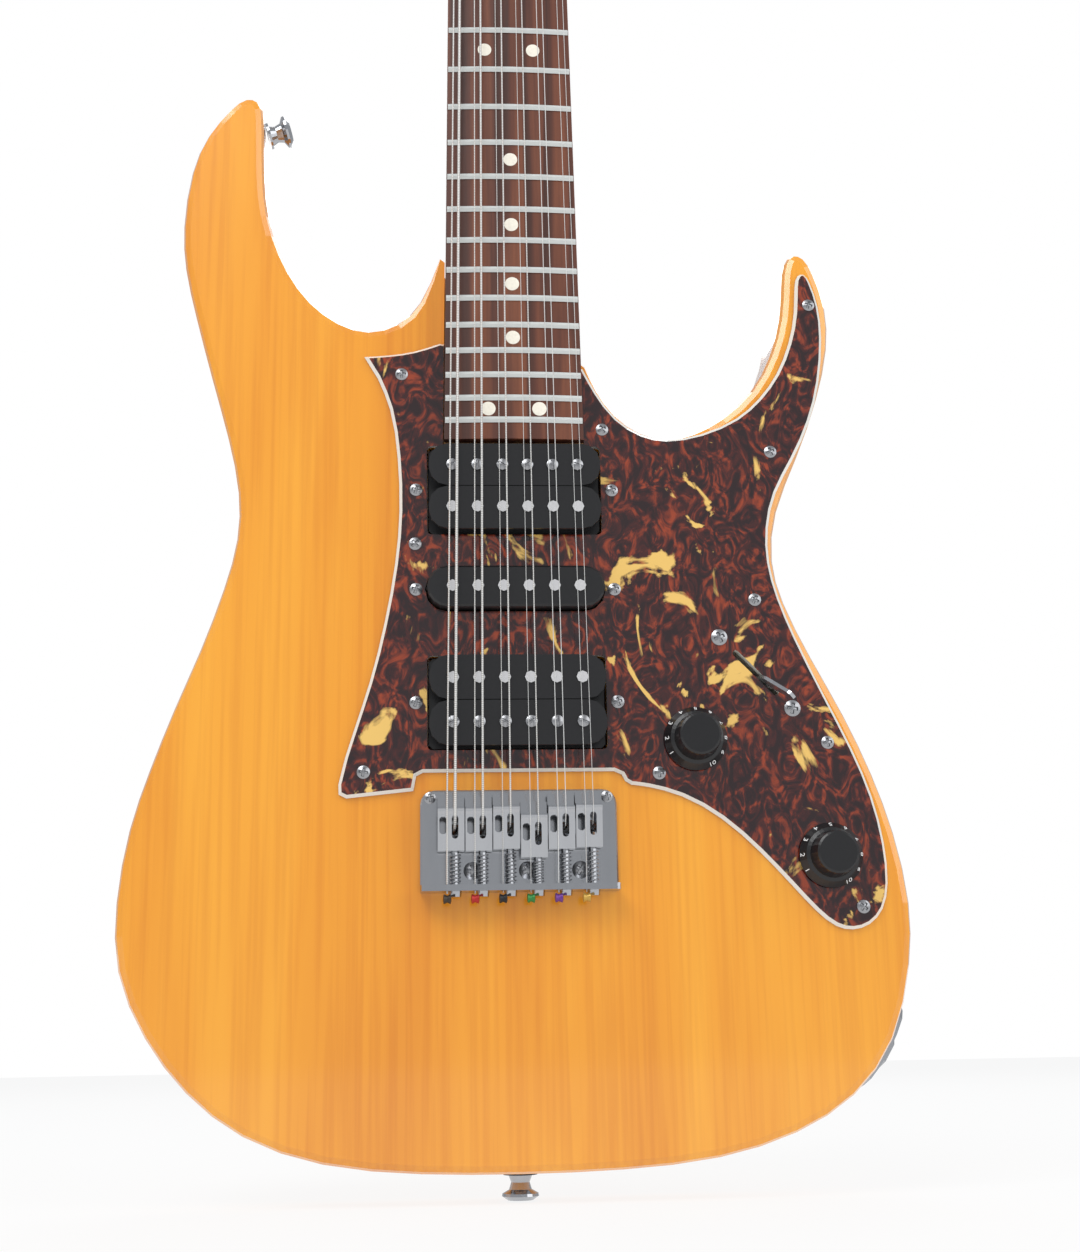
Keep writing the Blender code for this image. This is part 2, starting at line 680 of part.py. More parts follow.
def make_nut(finish):
    """Nut with a slot for each string; each slot holds its string with a small clearance."""
    half = neck_half(NUT_LINE)
    top = STRING_AT_NUT - 0.7 * MM
    outline = [(-half, NECK_TOP - GAP), (half, NECK_TOP - GAP), (half, top + 1.6 * MM), (half - 1.2 * MM, top)]
    for course in reversed(range(COURSES)):
        for right in (True, False):
            x = string_x(course, right, NUT_COURSE_PITCH, NUT_PAIR_SPACING)
            reach = STRING_PAIRS[course][right] / 2 + 0.32 * MM
            floor = STRING_AT_NUT + 0.32 * MM
            outline += [(x + reach, top), (x + reach * 0.8, floor), (x - reach * 0.8, floor), (x - reach, top)]
    outline += [(-half + 1.2 * MM, top), (-half, top + 1.6 * MM)]
    rings = [[(x, y, z) for x, y in outline] for z in (NUT_LINE, NUT_LINE + NUT_THICKNESS - GAP)]
    return loft("nut", rings, finish)


# Pickguard

def guard_outline():
    """The pickguard's edge as (x, up), before the neck and the pickups are cut out of it."""
    points = spline(in_metres(GUARD_WING), 2)
    points += in_metres(GUARD_STEP + GUARD_STEP_BASS + GUARD_FOOT)
    points += spline(in_metres(GUARD_BASS_SIDE), 2)
    return points + spline(in_metres(GUARD_TOP), 2)


def make_pickguard(finish):
    outline = guard_outline()
    rings = []
    for inset, depth in ((0.0, GUARD_BACK), (0.0, GUARD_BACK - 0.8 * MM), (GUARD_BEVEL, GUARD_FRONT)):
        rings.append([(x, depth, TAIL + up) for x, up in offset(outline, inset)])
    guard = loft("pickguard", rings, finish)
    neck_plan = heel_outline(GUARD_CLEARANCE, BOARD_END, TAIL + 380 * MM)
    cut(guard, panel("neck_cutout", neck_plan, GUARD_FRONT - 5 * MM, GUARD_BACK + 5 * MM))
    for size, up, corner in pickup_places():
        opening = rounded_box(size[0], size[1], corner, (0.0, up))
        cut(guard, panel("opening", opening, GUARD_FRONT - 5 * MM, GUARD_BACK + 5 * MM))
    for place in (VOLUME_AT, TONE_AT):
        neck = SHAFT_RADIUS + 2 * MM
        pot = ((POT_RADIUS, -POT_DEPTH), (POT_RADIUS, -0.8 * MM), (neck, 0.0), (neck, 1.2 * MM))
        join(guard, turned("pot", pot, 20, place=outwards(*place, GUARD_BACK)))
    join(guard, switch_frame())
    for place in (VOLUME_AT, TONE_AT):
        bore = ((SHAFT_RADIUS + GAP, 1.5 * MM - POT_DEPTH), (SHAFT_RADIUS + GAP, 10 * MM))
        cut(guard, turned("bore", bore, 16, place=outwards(*place, GUARD_BACK)))
    slot = rounded_box(SLOT_LENGTH, SLOT_WIDTH, SLOT_WIDTH / 2 - 0.1 * MM, SLOT_AT, 2, SLOT_ANGLE)
    cut(guard, panel("slot", slot, GUARD_FRONT - 5 * MM, GUARD_BACK + FRAME_DEPTH - 2 * MM))
    return smooth(guard, 30.0)


def switch_frame():
    """The selector's frame under the slot, with a hollow for the lever."""
    outside = rounded_box(SLOT_LENGTH + 12 * MM, 13 * MM, 1.5 * MM, SLOT_AT, 1, SLOT_ANGLE)
    inside = rounded_box(SLOT_LENGTH + 2 * MM, 4 * MM, 1.0 * MM, SLOT_AT, 1, SLOT_ANGLE)
    frame = panel("frame", outside, GUARD_BACK - 0.5 * MM, GUARD_BACK + FRAME_DEPTH)
    hollow = panel("hollow", inside, GUARD_BACK + 1.5 * MM, GUARD_BACK + FRAME_DEPTH + 5 * MM)
    return cut(frame, hollow)


def slot_frame():
    """Frame at the lever's pivot: local X along the slot towards the tail, Z to the viewer."""
    along = (math.cos(SLOT_ANGLE), 0, math.sin(SLOT_ANGLE))
    place = (SLOT_AT[0], GUARD_BACK + LEVER_PIVOT_DEPTH, TAIL + SLOT_AT[1])
    return axis_frame(place, (0, -1, 0), along)


def make_lever(finish):
    """Blade lever at its lower stop: a wide root at the pivot and a slimmer end bent towards the tail."""
    top = LEVER_PIVOT_DEPTH + GUARD_THICKNESS + LEVER_REACH
    half = LEVER_THICKNESS / 2
    stations = (
        (-2.6 * MM, LEVER_WIDTH * 0.4, 0.0),
        (0.0, LEVER_WIDTH * 0.55, 0.0),
        (LEVER_PIVOT_DEPTH, LEVER_WIDTH / 2, 0.0),
        (top * 0.60, LEVER_WIDTH * 0.48, 0.0),
        (top * 0.72, LEVER_WIDTH * 0.44, LEVER_JOG * 0.35),
        (top - 1.0 * MM, LEVER_WIDTH * 0.34, LEVER_JOG),
        (top, LEVER_WIDTH * 0.24, LEVER_JOG * 1.06),
    )
    turn = slot_frame() @ Matrix.Rotation(LEVER_LEAN, 4, "Y")
    rings = []
    for height, reach, shift in stations:
        corners = ((-reach, -half), (reach, -half), (reach, half), (-reach, half))
        rings.append([tuple(turn @ Vector((x + shift, y, height))) for x, y in corners])
    lever = loft("switch_lever", rings, finish)
    return set_origin(lever, slot_frame().translation)


def make_humbucker(name, up, finish):
    """Two bobbins with their coils on one base, with a row of screws and a row of slugs."""
    width, height = (side - 2 * PICKUP_CLEARANCE for side in HUMBUCKER_SIZE)
    top = string_depth(TAIL + up) + PICKUP_BELOW_STRINGS
    lower = FRONT + PICKUP_ROUT_DEPTH - 3 * MM
    base = panel(name, rounded_box(width, height, 1.5 * MM, (0.0, up), 1), top + 9.6 * MM, lower, finish)
    bobbin_height = height / 2 - 0.3 * MM
    for side in (1, -1):
        middle = (0.0, up + side * height / 4)
        flange = rounded_box(width, bobbin_height, bobbin_height * 0.42, middle, 3)
        coil = rounded_box(width - 3 * MM, bobbin_height - 3 * MM, bobbin_height * 0.38, middle, 3)
        join(base, panel("bobbin", flange, top, top + 1.6 * MM))
        join(base, panel("coil", coil, top + 1.2 * MM, top + 9.8 * MM))
    add_poles(base, up + POLE_ROW_FROM_MIDDLE, top)
    add_poles(base, up - POLE_ROW_FROM_MIDDLE, top)
    return smooth(base, 40.0)


def add_poles(pickup, up, top):
    for i in range(COURSES):
        x = (i - (COURSES - 1) / 2) * POLE_PITCH
        pole = ((POLE_RADIUS, -1 * MM), (POLE_RADIUS, POLE_PROUD))
        join(pickup, turned("pole", pole, 8, place=outwards(x, up, top)))


def make_single(name, up, finish):
    """One long bobbin with round ends and six flush slugs."""
    width, height = (side - 2 * PICKUP_CLEARANCE for side in SINGLE_SIZE)
    top = string_depth(TAIL + up) + PICKUP_BELOW_STRINGS
    lower = FRONT + PICKUP_ROUT_DEPTH - 3 * MM
    outline = rounded_box(width, height, height / 2 - 0.1 * MM, (0.0, up), 4)
    rings = []
    for inset, depth in ((0.8 * MM, top), (0.0, top + 0.8 * MM), (0.0, lower)):
        rings.append([(x, depth, TAIL + h) for x, h in offset(outline, inset)])
    pickup = loft(name, rings, finish)
    add_poles(pickup, up, top)
    return smooth(pickup, 40.0)


def make_knob(name, place, finish):
    """Skirted knob with a fluted cap, on its shaft."""
    base = -GUARD_THICKNESS - 0.9 * MM
    sides = 36

    def flute(i, height):
        on_cap = -base + 5.0 * MM < height < -base + KNOB_HEIGHT - 1 * MM
        return 0.965 if i % 2 and on_cap else 1.0

    profile = (
        (SHAFT_RADIUS, 2.2 * MM - POT_DEPTH),
        (SHAFT_RADIUS, -base),
        (KNOB_SKIRT_RADIUS, -base),
        (KNOB_SKIRT_RADIUS, -base + 0.9 * MM),
        (KNOB_CAP_RADIUS + 1.4 * MM, -base + 4.0 * MM),
        (KNOB_CAP_RADIUS, -base + 4.6 * MM),
        (KNOB_CAP_RADIUS, -base + 5.4 * MM),
        (KNOB_CAP_RADIUS - 0.7 * MM, -base + KNOB_HEIGHT - 1.4 * MM),
        (KNOB_CAP_RADIUS - 1.0 * MM, -base + KNOB_HEIGHT - 0.5 * MM),
        (KNOB_CAP_RADIUS - 1.8 * MM, -base + KNOB_HEIGHT),
    )
    knob = turned(name, profile, sides, finish, outwards(*place, GUARD_BACK), flute)
    return smooth(set_origin(knob, outwards(*place, GUARD_BACK).translation), 40.0)


# Bridge

def make_bridge_plate(finish):
    """Plate with round front corners, upright rear flange, string holes and intonation screws."""
    front_up = BRIDGE_REAR_UP + BRIDGE_LENGTH
    radius = 5.5 * MM
    half = BRIDGE_WIDTH / 2
    outline = [(-half, BRIDGE_REAR_UP), (half, BRIDGE_REAR_UP)]
    outline += arc((half - radius, front_up - radius), radius, 0.0, math.pi / 2, 4)
    outline += arc((radius - half, front_up - radius), radius, math.pi / 2, math.pi, 4)
    top = GUARD_BACK - BRIDGE_THICKNESS
    rings = []
    for inset, depth in ((0.0, GUARD_BACK), (0.0, top + 0.6 * MM), (0.6 * MM, top)):
        rings.append([(x, depth, TAIL + up) for x, up in offset(outline, inset)])
    plate = loft("bridge_plate", rings, finish)
    flange_top = top - FLANGE_HEIGHT
    flange_middle = (0.0, (flange_top + top + 1.5 * MM) / 2)
    profile = rounded_box(BRIDGE_WIDTH, FLANGE_HEIGHT + 1.5 * MM, 1.6 * MM, flange_middle, 2)
    flange_z = (TAIL + BRIDGE_REAR_UP, TAIL + BRIDGE_REAR_UP + FLANGE_THICKNESS)
    join(plate, loft("flange", [[(x, y, z) for x, y in profile] for z in flange_z]))
    for course in range(COURSES):
        x = string_x(course, True, COURSE_PITCH, PAIR_SPACING)
        hole = ((STRING_HOLE_RADIUS, -5 * MM), (STRING_HOLE_RADIUS, 8 * MM))
        cut(plate, turned("hole", hole, 8, place=outwards(x, string_hole_up(course), GUARD_BACK)))
        octave = (string_x(course, False, COURSE_PITCH, PAIR_SPACING), octave_depth(), flange_z[0])
        way = ((1.1 * MM, -5 * MM), (1.1 * MM, 8 * MM))
        cut(plate, turned("octave_hole", way, 8, place=axis_frame(octave, (0, 0, 1), (1, 0, 0))))
        join(plate, intonation_screw(course))
    return smooth(plate)


def octave_depth():
    """Depth at which the left string of each pair passes the flange."""
    return GUARD_BACK - BRIDGE_THICKNESS - FLANGE_HEIGHT + 1.8 * MM


def intonation_depth():
    return GUARD_BACK - BRIDGE_THICKNESS - 4.0 * MM


def intonation_x(course):
    return course_middle(course, COURSE_PITCH) + 1.6 * MM


def intonation_screw(course):
    """Screw through the flange with its head behind it, reaching into the saddle's rear tab."""
    place = axis_frame((intonation_x(course), intonation_depth(), TAIL + BRIDGE_REAR_UP), (0, 0, 1), (1, 0, 0))
    tip = saddle_rear(course) + SADDLE_WALL + SADDLE_TRAVEL + 1.5 * MM - TAIL - BRIDGE_REAR_UP
    profile = ((2.3 * MM, -2.0 * MM), (2.5 * MM, 0.2 * MM), (INTONATION_RADIUS, 0.3 * MM), (INTONATION_RADIUS, tip))
    return turned("intonation", profile, 8, place=place)


def saddle_rear(course):
    return saddle_break(course) + SADDLE_STEP - SADDLE_LENGTH


def make_saddle(course, finish):
    """Bent saddle for one pair: low front step with two height screws, break edge, top plate and rear tab."""
    edge = saddle_break(course)
    rear = saddle_rear(course)
    front = edge + SADDLE_STEP
    crest = string_depth(edge) + GAP
    top = crest + 0.8 * MM
    rear_top = top + SADDLE_FALL
    foot = GUARD_BACK - BRIDGE_THICKNESS - GAP
    step = foot - 5.6 * MM
    profile = (
        (front, foot - 2.6 * MM), (front, step), (edge + 1.2 * MM, step - 0.3 * MM),
        (edge + 0.6 * MM, crest + 0.4 * MM),
        (edge, crest), (edge - 1.0 * MM, crest + 0.1 * MM), (edge - 2.0 * MM, top), (rear, rear_top),
        (rear, foot - 1.4 * MM),
        (rear + SADDLE_WALL, foot - 1.4 * MM), (rear + SADDLE_WALL, rear_top + SADDLE_WALL),
        (edge - 2.0 * MM, top + SADDLE_WALL), (edge - 1.0 * MM, foot - 2.6 * MM),
    )
    half = (COURSE_PITCH - SADDLE_GAP) / 2
    middle = course_middle(course, COURSE_PITCH)
    saddle = loft(
        f"saddle_{course + 1}", [[(x, y, z) for z, y in profile] for x in (middle - half, middle + half)], finish
    )
    slot_length = 9.0 * MM
    slot_up = edge - TAIL - 2.4 * MM - slot_length / 2
    slot = rounded_box(2.6 * MM, slot_length, 1.25 * MM, (middle + PAIR_SPACING / 2, slot_up), 2)
    window = rounded_box(2.8 * MM, 6.6 * MM, 0.8 * MM, (middle - 3.1 * MM, slot_up + 0.6 * MM), 1)
    for hole in (slot, window):
        cut(saddle, panel("window", hole, top - 3 * MM, top + 3 * MM))
    screw = ((INTONATION_RADIUS + GAP, -4 * MM), (INTONATION_RADIUS + GAP, 4 * MM))
    place = axis_frame((intonation_x(course), intonation_depth(), rear), (0, 0, 1), (1, 0, 0))
    cut(saddle, turned("screw_hole", screw, 8, place=place))
    for side in (-1, 1):
        leg = ((1.5 * MM, 0.0), (1.5 * MM, 4.0 * MM))
        place = outwards(middle + side * 3.1 * MM, edge - TAIL + SADDLE_STEP / 2 + 0.6 * MM, foot)
        join(saddle, turned("height_screw", leg, 8, place=place))
    return set_origin(smooth(saddle, 30.0), (middle, crest, edge))


# Strings

def string_points(course, right):
    """Route of one string from its ball end over its saddle and the nut to its winding on the post."""
    radius = STRING_PAIRS[course][right] / 2
    x = string_x(course, right, COURSE_PITCH, PAIR_SPACING)
    edge = saddle_break(course)
    depth = string_depth(edge) - radius
    if right:
        hole = TAIL + string_hole_up(course)
        start = [(x, BACK - 4 * MM, hole), (x, FRONT - 9.0 * MM, hole), (x, depth + 0.3 * MM, edge - 2.6 * MM)]
    else:
        rear = TAIL + BRIDGE_REAR_UP
        front = rear + FLANGE_THICKNESS + 0.4 * MM
        start = [(x, octave_depth(), rear - 1.0 * MM), (x, octave_depth(), front)]
    start.append((x, depth, edge))
    x_nut = string_x(course, right, NUT_COURSE_PITCH, NUT_PAIR_SPACING)
    nut_depth = STRING_AT_NUT - radius
    start.append((x_nut, nut_depth, NUT_LINE))
    start.append((x_nut, nut_depth + 0.1 * MM, NUT_LINE + NUT_THICKNESS * 0.8))
    return start + winding_points(course, right, radius)


def string_number(course, right):
    return 2 * course + (1 if right else 0)


def winding_points(course, right, radius):
    """Loops round the post, falling towards the headstock by one pitch a turn."""
    _, post_u, post_v = tuner_places()[string_number(course, right)]
    side = -math.copysign(1.0, post_u)
    reach = POST_WAIST + WINDING_CLEARANCE + radius
    pitch = 2 * radius + WINDING_GAP
    top = 8.6 * MM
    frame = head_frame()
    points = []
    for i in range(int(WINDING_TURNS * WINDING_POINTS) + 1):
        angle = 2 * math.pi * i / WINDING_POINTS
        height = top - pitch * angle / (2 * math.pi)
        u = post_u + side * reach * math.cos(angle)
        v = post_v + reach * math.sin(angle)
        points.append(tuple(frame @ Vector((u, v, height))))
    return points


def make_string(course, right, finish):
    """A string is one round wire along its route."""
    name = f"string_{string_number(course, right) + 1}"
    curve = bpy.data.curves.new(name, "CURVE")
    curve.dimensions = "3D"
    curve.bevel_depth = STRING_PAIRS[course][right] / 2
    curve.bevel_resolution = 1
    curve.use_fill_caps = True
    route = curve.splines.new("POLY")
    points = string_points(course, right)
    route.points.add(len(points) - 1)
    for point, place in zip(route.points, points):
        point.co = (*place, 1.0)
    made = bpy.data.objects.new(name, curve)
    bpy.context.scene.collection.objects.link(made)
    curve.materials.append(finish)
    return made


# Tuners

def tuner_places():
    """Number, u and v of each post, in the order of the strings that they hold."""
    places = []
    for i in range(TUNERS_A_SIDE):
        places.append((i + 1, -POST_OFFSET, TUNER_FIRST + i * TUNER_PITCH))
    for i in reversed(range(TUNERS_A_SIDE)):
        places.append((2 * TUNERS_A_SIDE - i, POST_OFFSET, TUNER_FIRST + i * TUNER_PITCH))
    return places


def make_post(number, u, v, finish):
    """Capstan post that turns in the headstock and in its gear housing."""
    low = -HEAD_THICKNESS - GAP - STRIP_THICKNESS - 2.6 * MM
    profile = (
        (POST_RADIUS, low), (POST_RADIUS, 2.6 * MM), (POST_WAIST, 4.0 * MM), (POST_WAIST, 10.6 * MM),
        (POST_RADIUS, 12.0 * MM), (POST_RADIUS, POST_HEIGHT - 0.7 * MM), (POST_RADIUS - 0.8 * MM, POST_HEIGHT),
    )
    post = turned(f"tuner_post_{number}", profile, 12, finish, head_place(u, v))
    return smooth(set_origin(post, head_place(u, v).translation), 40.0)


def housing_depth():
    """Local height of the worm shaft's axis behind the headstock."""
    return -HEAD_THICKNESS - GAP - STRIP_THICKNESS - HOUSING_DEPTH / 2


def make_strip(name, side, finish):
    """Six gear housings on one plate, with their post and worm holes."""
    back = -HEAD_THICKNESS - GAP
    length = (TUNERS_A_SIDE - 1) * TUNER_PITCH
    middle_v = TUNER_FIRST + length / 2
    outline = rounded_box(STRIP_WIDTH, length + HOUSING_LENGTH + 6 * MM, 4 * MM, (side * POST_OFFSET, middle_v), 3)
    frame = head_frame()
    strip = loft(
        name, [[tuple(frame @ Vector((u, v, w))) for u, v in outline] for w in (back, back - STRIP_THICKNESS)], finish
    )
    for i in range(TUNERS_A_SIDE):
        v = TUNER_FIRST + i * TUNER_PITCH
        middle = (side * POST_OFFSET, v - 1.0 * MM)
        rings = []
        for inset, w in ((0.0, 0.5 * MM), (0.0, HOUSING_DEPTH - 1.4 * MM), (1.4 * MM, HOUSING_DEPTH)):
            box = offset(rounded_box(STRIP_WIDTH - 3 * MM, HOUSING_LENGTH, 3 * MM, middle, 2), inset)
            rings.append([tuple(frame @ Vector((u, h, back - STRIP_THICKNESS + 1 * MM - w))) for u, h in box])
        join(strip, loft("housing", rings))
    for i in range(TUNERS_A_SIDE):
        v = TUNER_FIRST + i * TUNER_PITCH
        hole = ((POST_RADIUS + GAP, back - STRIP_THICKNESS - 3.0 * MM), (POST_RADIUS + GAP, back + 5 * MM))
        cut(strip, turned("post_hole", hole, 12, place=head_place(side * POST_OFFSET, v)))
        worm = ((WORM_RADIUS + GAP, -7 * MM), (WORM_RADIUS + GAP, 12 * MM))
        cut(strip, turned("worm_hole", worm, 8, place=worm_frame(side, v)))
    return smooth(strip, 30.0)


def worm_frame(side, v):
    """Frame of a worm shaft: origin above the strip's middle line, local Z out to the side."""
    frame = head_frame()
    place = frame @ Vector((side * POST_OFFSET, v - WORM_OFFSET - 1.4 * MM, housing_depth()))
    outward = frame.to_3x3() @ Vector((side, 0, 0))
    along = frame.to_3x3() @ Vector((0, 1, 0))
    return axis_frame(place, outward, along)


def make_button(number, side, v, finish):
    """Worm shaft with its finger button, a flattened oval that tapers to the stem."""
    place = worm_frame(side, v)
    start = STRIP_WIDTH / 2 + BUTTON_STEM - 1.5 * MM
    stations = (
        (-6.6 * MM, WORM_RADIUS, WORM_RADIUS), (start, WORM_RADIUS, WORM_RADIUS),
        (start + 1.2 * MM, 3.4 * MM, 2.8 * MM), (start + 4 * MM, 6.4 * MM, 3.6 * MM),
        (start + BUTTON_LENGTH * 0.55, BUTTON_HALF_WIDTH, BUTTON_HALF_THICKNESS),
        (start + BUTTON_LENGTH * 0.86, BUTTON_HALF_WIDTH * 0.8, BUTTON_HALF_THICKNESS * 0.86),
        (start + BUTTON_LENGTH, BUTTON_HALF_WIDTH * 0.36, BUTTON_HALF_THICKNESS * 0.5),
    )
    sides = 10
    rings = []
    for height, half_x, half_y in stations:
        angles = [2 * math.pi * i / sides for i in range(sides)]
        rings.append([tuple(place @ Vector((half_x * math.cos(a), half_y * math.sin(a), height))) for a in angles])
    button = loft(f"tuner_button_{number}", rings, finish)
    return smooth(set_origin(button, place.translation), 45.0)


# Fittings

def strap_button(name, frame, finish):
    """Turned strap button: washer, waist and domed head with a flat end. Local Z points out of the body."""
    profile = (
        (5.9 * MM, GAP), (5.9 * MM, 1.3 * MM), (4.6 * MM, 1.5 * MM), (3.6 * MM, 4.0 * MM), (4.4 * MM, 6.6 * MM),
        (7.0 * MM, 8.0 * MM), (7.2 * MM, 9.0 * MM), (5.0 * MM, BUTTON_REACH),
    )
    return smooth(turned(name, profile, 20, finish, frame), 30.0)


def horn_button_frame():
    """On the inner side of the bass horn's tip, pointing at the neck and up."""
    place = Vector((HORN_BUTTON_AT[0], 0, TAIL + HORN_BUTTON_AT[1]))
    return axis_frame(place, (math.cos(HORN_BUTTON_ANGLE), 0, math.sin(HORN_BUTTON_ANGLE)), (0, 1, 0))


def make_jack(finish):
    """Curved plate with the socket's barrel and nut, and the bore for the plug."""
    frame = jack_frame()
    low = jack_surface()
    rings = []
    for share in (-1.0, -0.93, -0.75, -0.4, 0.0, 0.4, 0.75, 0.93, 1.0):
        x = share * JACK_PLATE_LENGTH / 2
        half = JACK_PLATE_WIDTH / 2 - 5 * MM * max(0.0, abs(share) - 0.75) ** 2 * 16
        fall = x * x / JACK_CURVE
        high = low + JACK_PLATE_THICKNESS
        corners = ((-half, low), (half, low), (half, high), (-half, high))
        rings.append([tuple(frame @ Vector((x, y, height - fall))) for y, height in corners])
    jack = loft("output_jack", rings, finish)
    barrel = ((JACK_BARREL_RADIUS, -JACK_BARREL_LENGTH), (JACK_BARREL_RADIUS, low + 1.1 * MM))
    nut = ((7.4 * MM, low + 0.5 * MM), (7.4 * MM, low + JACK_PLATE_THICKNESS + 2.0 * MM))
    join(jack, turned("barrel", barrel, 12, place=frame), turned("nut", nut, 6, place=frame))
    bore = ((JACK_HOLE_RADIUS, 2 * MM - JACK_BARREL_LENGTH), (JACK_HOLE_RADIUS, 20 * MM))
    cut(jack, turned("bore", bore, 12, place=frame))
    return smooth(jack, 30.0)


def make_neck_plate(finish):
    """Plate with round corners and four domed bolt heads, behind the heel."""
    up = BOARD_END - TAIL + NECK_PLATE_LENGTH / 2 + 3.0 * MM
    outline = rounded_box(NECK_PLATE_WIDTH, NECK_PLATE_LENGTH, 4 * MM, (0.0, up), 3)
    plate = panel("neck_plate", outline, BACK + GAP, BACK + GAP + 2.0 * MM, finish)
    for side in (-1, 1):
        for end in (-1, 1):
            x = side * (NECK_PLATE_WIDTH / 2 - 6.5 * MM)
            z = up + end * (NECK_PLATE_LENGTH / 2 - 6.5 * MM)
            head = ((4.2 * MM, 1.0 * MM), (4.2 * MM, 2.4 * MM), (2.6 * MM, 3.6 * MM))
            place = axis_frame((x, BACK + GAP, TAIL + z), (0, 1, 0), (1, 0, 0))
            join(plate, turned("bolt", head, 10, place=place))
    return smooth(plate, 30.0)


def winding_clearances():
    """Prints the least gap that each winding leaves between its turns."""
    for course in range(COURSES):
        for right in (False, True):
            radius = STRING_PAIRS[course][right] / 2
            points = [Vector(p) for p in winding_points(course, right, radius)]
            least = min(
                (a - b).length for i, a in enumerate(points) for b in points[i + WINDING_POINTS // 2 :]
            )
            print(f"string {string_number(course, right) + 1}: {1000 * (least - 2 * radius):.2f} mm between turns")


def main():
    clear_scene()
    amber = material("amber_wood", (0.83, 0.38, 0.045), 0.25)
    maple = material("maple", (0.72, 0.48, 0.24), 0.35)
    rosewood = material("rosewood", (0.16, 0.06, 0.035), 0.5)
    bone = material("nut_white", (0.85, 0.82, 0.74), 0.4)
    tortoise = material("tortoiseshell", (0.12, 0.03, 0.02), 0.15)
    black = material("black_plastic", (0.012, 0.012, 0.013), 0.3)
    chrome = material("chrome", (0.72, 0.73, 0.75), 0.12, 1.0)
    wire = material("string_wire", (0.7, 0.7, 0.68), 0.25, 1.0)

    make_body(amber)
    make_neck(maple)
    make_fretboard(rosewood)
    make_nut(bone)
    make_pickguard(tortoise)
    make_humbucker("neck_pickup", NECK_PICKUP_UP, black)
    make_single("middle_pickup", MIDDLE_PICKUP_UP, black)
    make_humbucker("bridge_pickup", BRIDGE_PICKUP_UP, black)
    make_bridge_plate(chrome)
    for course in range(COURSES):
        make_saddle(course, chrome)
        for right in (False, True):
            make_string(course, right, wire)
    make_knob("volume_knob", VOLUME_AT, black)
    make_knob("tone_knob", TONE_AT, black)
    make_lever(chrome)
    tail = axis_frame((0, 0, TAIL), (0, 0, -1), (1, 0, 0))
    strap_button("strap_button_tail", tail, chrome)
    strap_button("strap_button_horn", horn_button_frame(), chrome)
    make_jack(chrome)
    make_neck_plate(chrome)
    make_strip("tuner_strip_bass", -1, chrome)
    make_strip("tuner_strip_treble", 1, chrome)
    for number, u, v in tuner_places():
        make_post(number, u, v, chrome)
        make_button(number, math.copysign(1.0, u), v, chrome)
    winding_clearances()


main()
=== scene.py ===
"""Dresses the twelve-string guitar: finishes, small fittings, floor, light and the photograph's camera.

Sizes are metres unless a docstring gives millimetres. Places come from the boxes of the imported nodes, and
the heights of the guard's and the selector's screws are measured up from the body's tail edge.
"""

from __future__ import annotations

import logging
import math
from dataclasses import dataclass
from enum import Enum
from typing import Callable, Sequence

import bmesh
import bpy
from mathutils import Matrix, Vector

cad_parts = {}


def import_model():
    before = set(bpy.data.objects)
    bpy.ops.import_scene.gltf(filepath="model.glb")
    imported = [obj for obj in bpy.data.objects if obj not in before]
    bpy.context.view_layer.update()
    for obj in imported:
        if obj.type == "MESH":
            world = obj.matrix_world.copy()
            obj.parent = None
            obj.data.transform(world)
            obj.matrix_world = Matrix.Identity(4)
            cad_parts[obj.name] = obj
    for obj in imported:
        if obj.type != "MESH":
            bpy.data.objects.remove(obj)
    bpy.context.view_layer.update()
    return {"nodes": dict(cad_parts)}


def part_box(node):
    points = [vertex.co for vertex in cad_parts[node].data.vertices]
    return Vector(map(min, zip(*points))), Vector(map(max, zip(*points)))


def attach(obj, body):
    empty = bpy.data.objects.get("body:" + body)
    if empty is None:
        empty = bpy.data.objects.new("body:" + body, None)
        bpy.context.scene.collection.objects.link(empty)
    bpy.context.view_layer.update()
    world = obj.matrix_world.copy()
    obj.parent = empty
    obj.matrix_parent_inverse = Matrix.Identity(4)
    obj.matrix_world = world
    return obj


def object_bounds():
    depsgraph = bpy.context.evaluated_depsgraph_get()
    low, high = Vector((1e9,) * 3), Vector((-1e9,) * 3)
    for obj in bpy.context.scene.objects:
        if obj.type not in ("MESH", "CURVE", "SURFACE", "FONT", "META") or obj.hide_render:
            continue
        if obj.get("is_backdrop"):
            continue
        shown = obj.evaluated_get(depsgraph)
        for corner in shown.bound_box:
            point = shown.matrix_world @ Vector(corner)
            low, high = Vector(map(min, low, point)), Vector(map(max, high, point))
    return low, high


LOG = logging.getLogger("guitar")
MM = 0.001
ROOT = "guitar"
COURSES = 6
WOUND_STRINGS = (1, 2, 3, 4, 5, 6, 8)
TAIL_REACH = 10.5 * MM
SCALE_LENGTH = 648.0 * MM
NUT_GAP = 0.3 * MM
BOARD_RADIUS = 305.0 * MM
FRONT = (0, -1, 0)
ALMOST_SIDEWAYS = 0.9
SHARP_ANGLE = math.radians(40)
FIBRE_GROUP = "wood_fibres"
MIX_SHARE = 0
MIX_FIRST = 6
MIX_SECOND = 7
MIX_RESULT = 2

Socket = bpy.types.NodeSocket
Colour = tuple[float, float, float, float]
Pattern = Callable[["Nodes"], tuple]


class Recess(Enum):
    """Shape of the recess in a screw's head."""

    CROSS = "cross"
    SLOT = "slot"


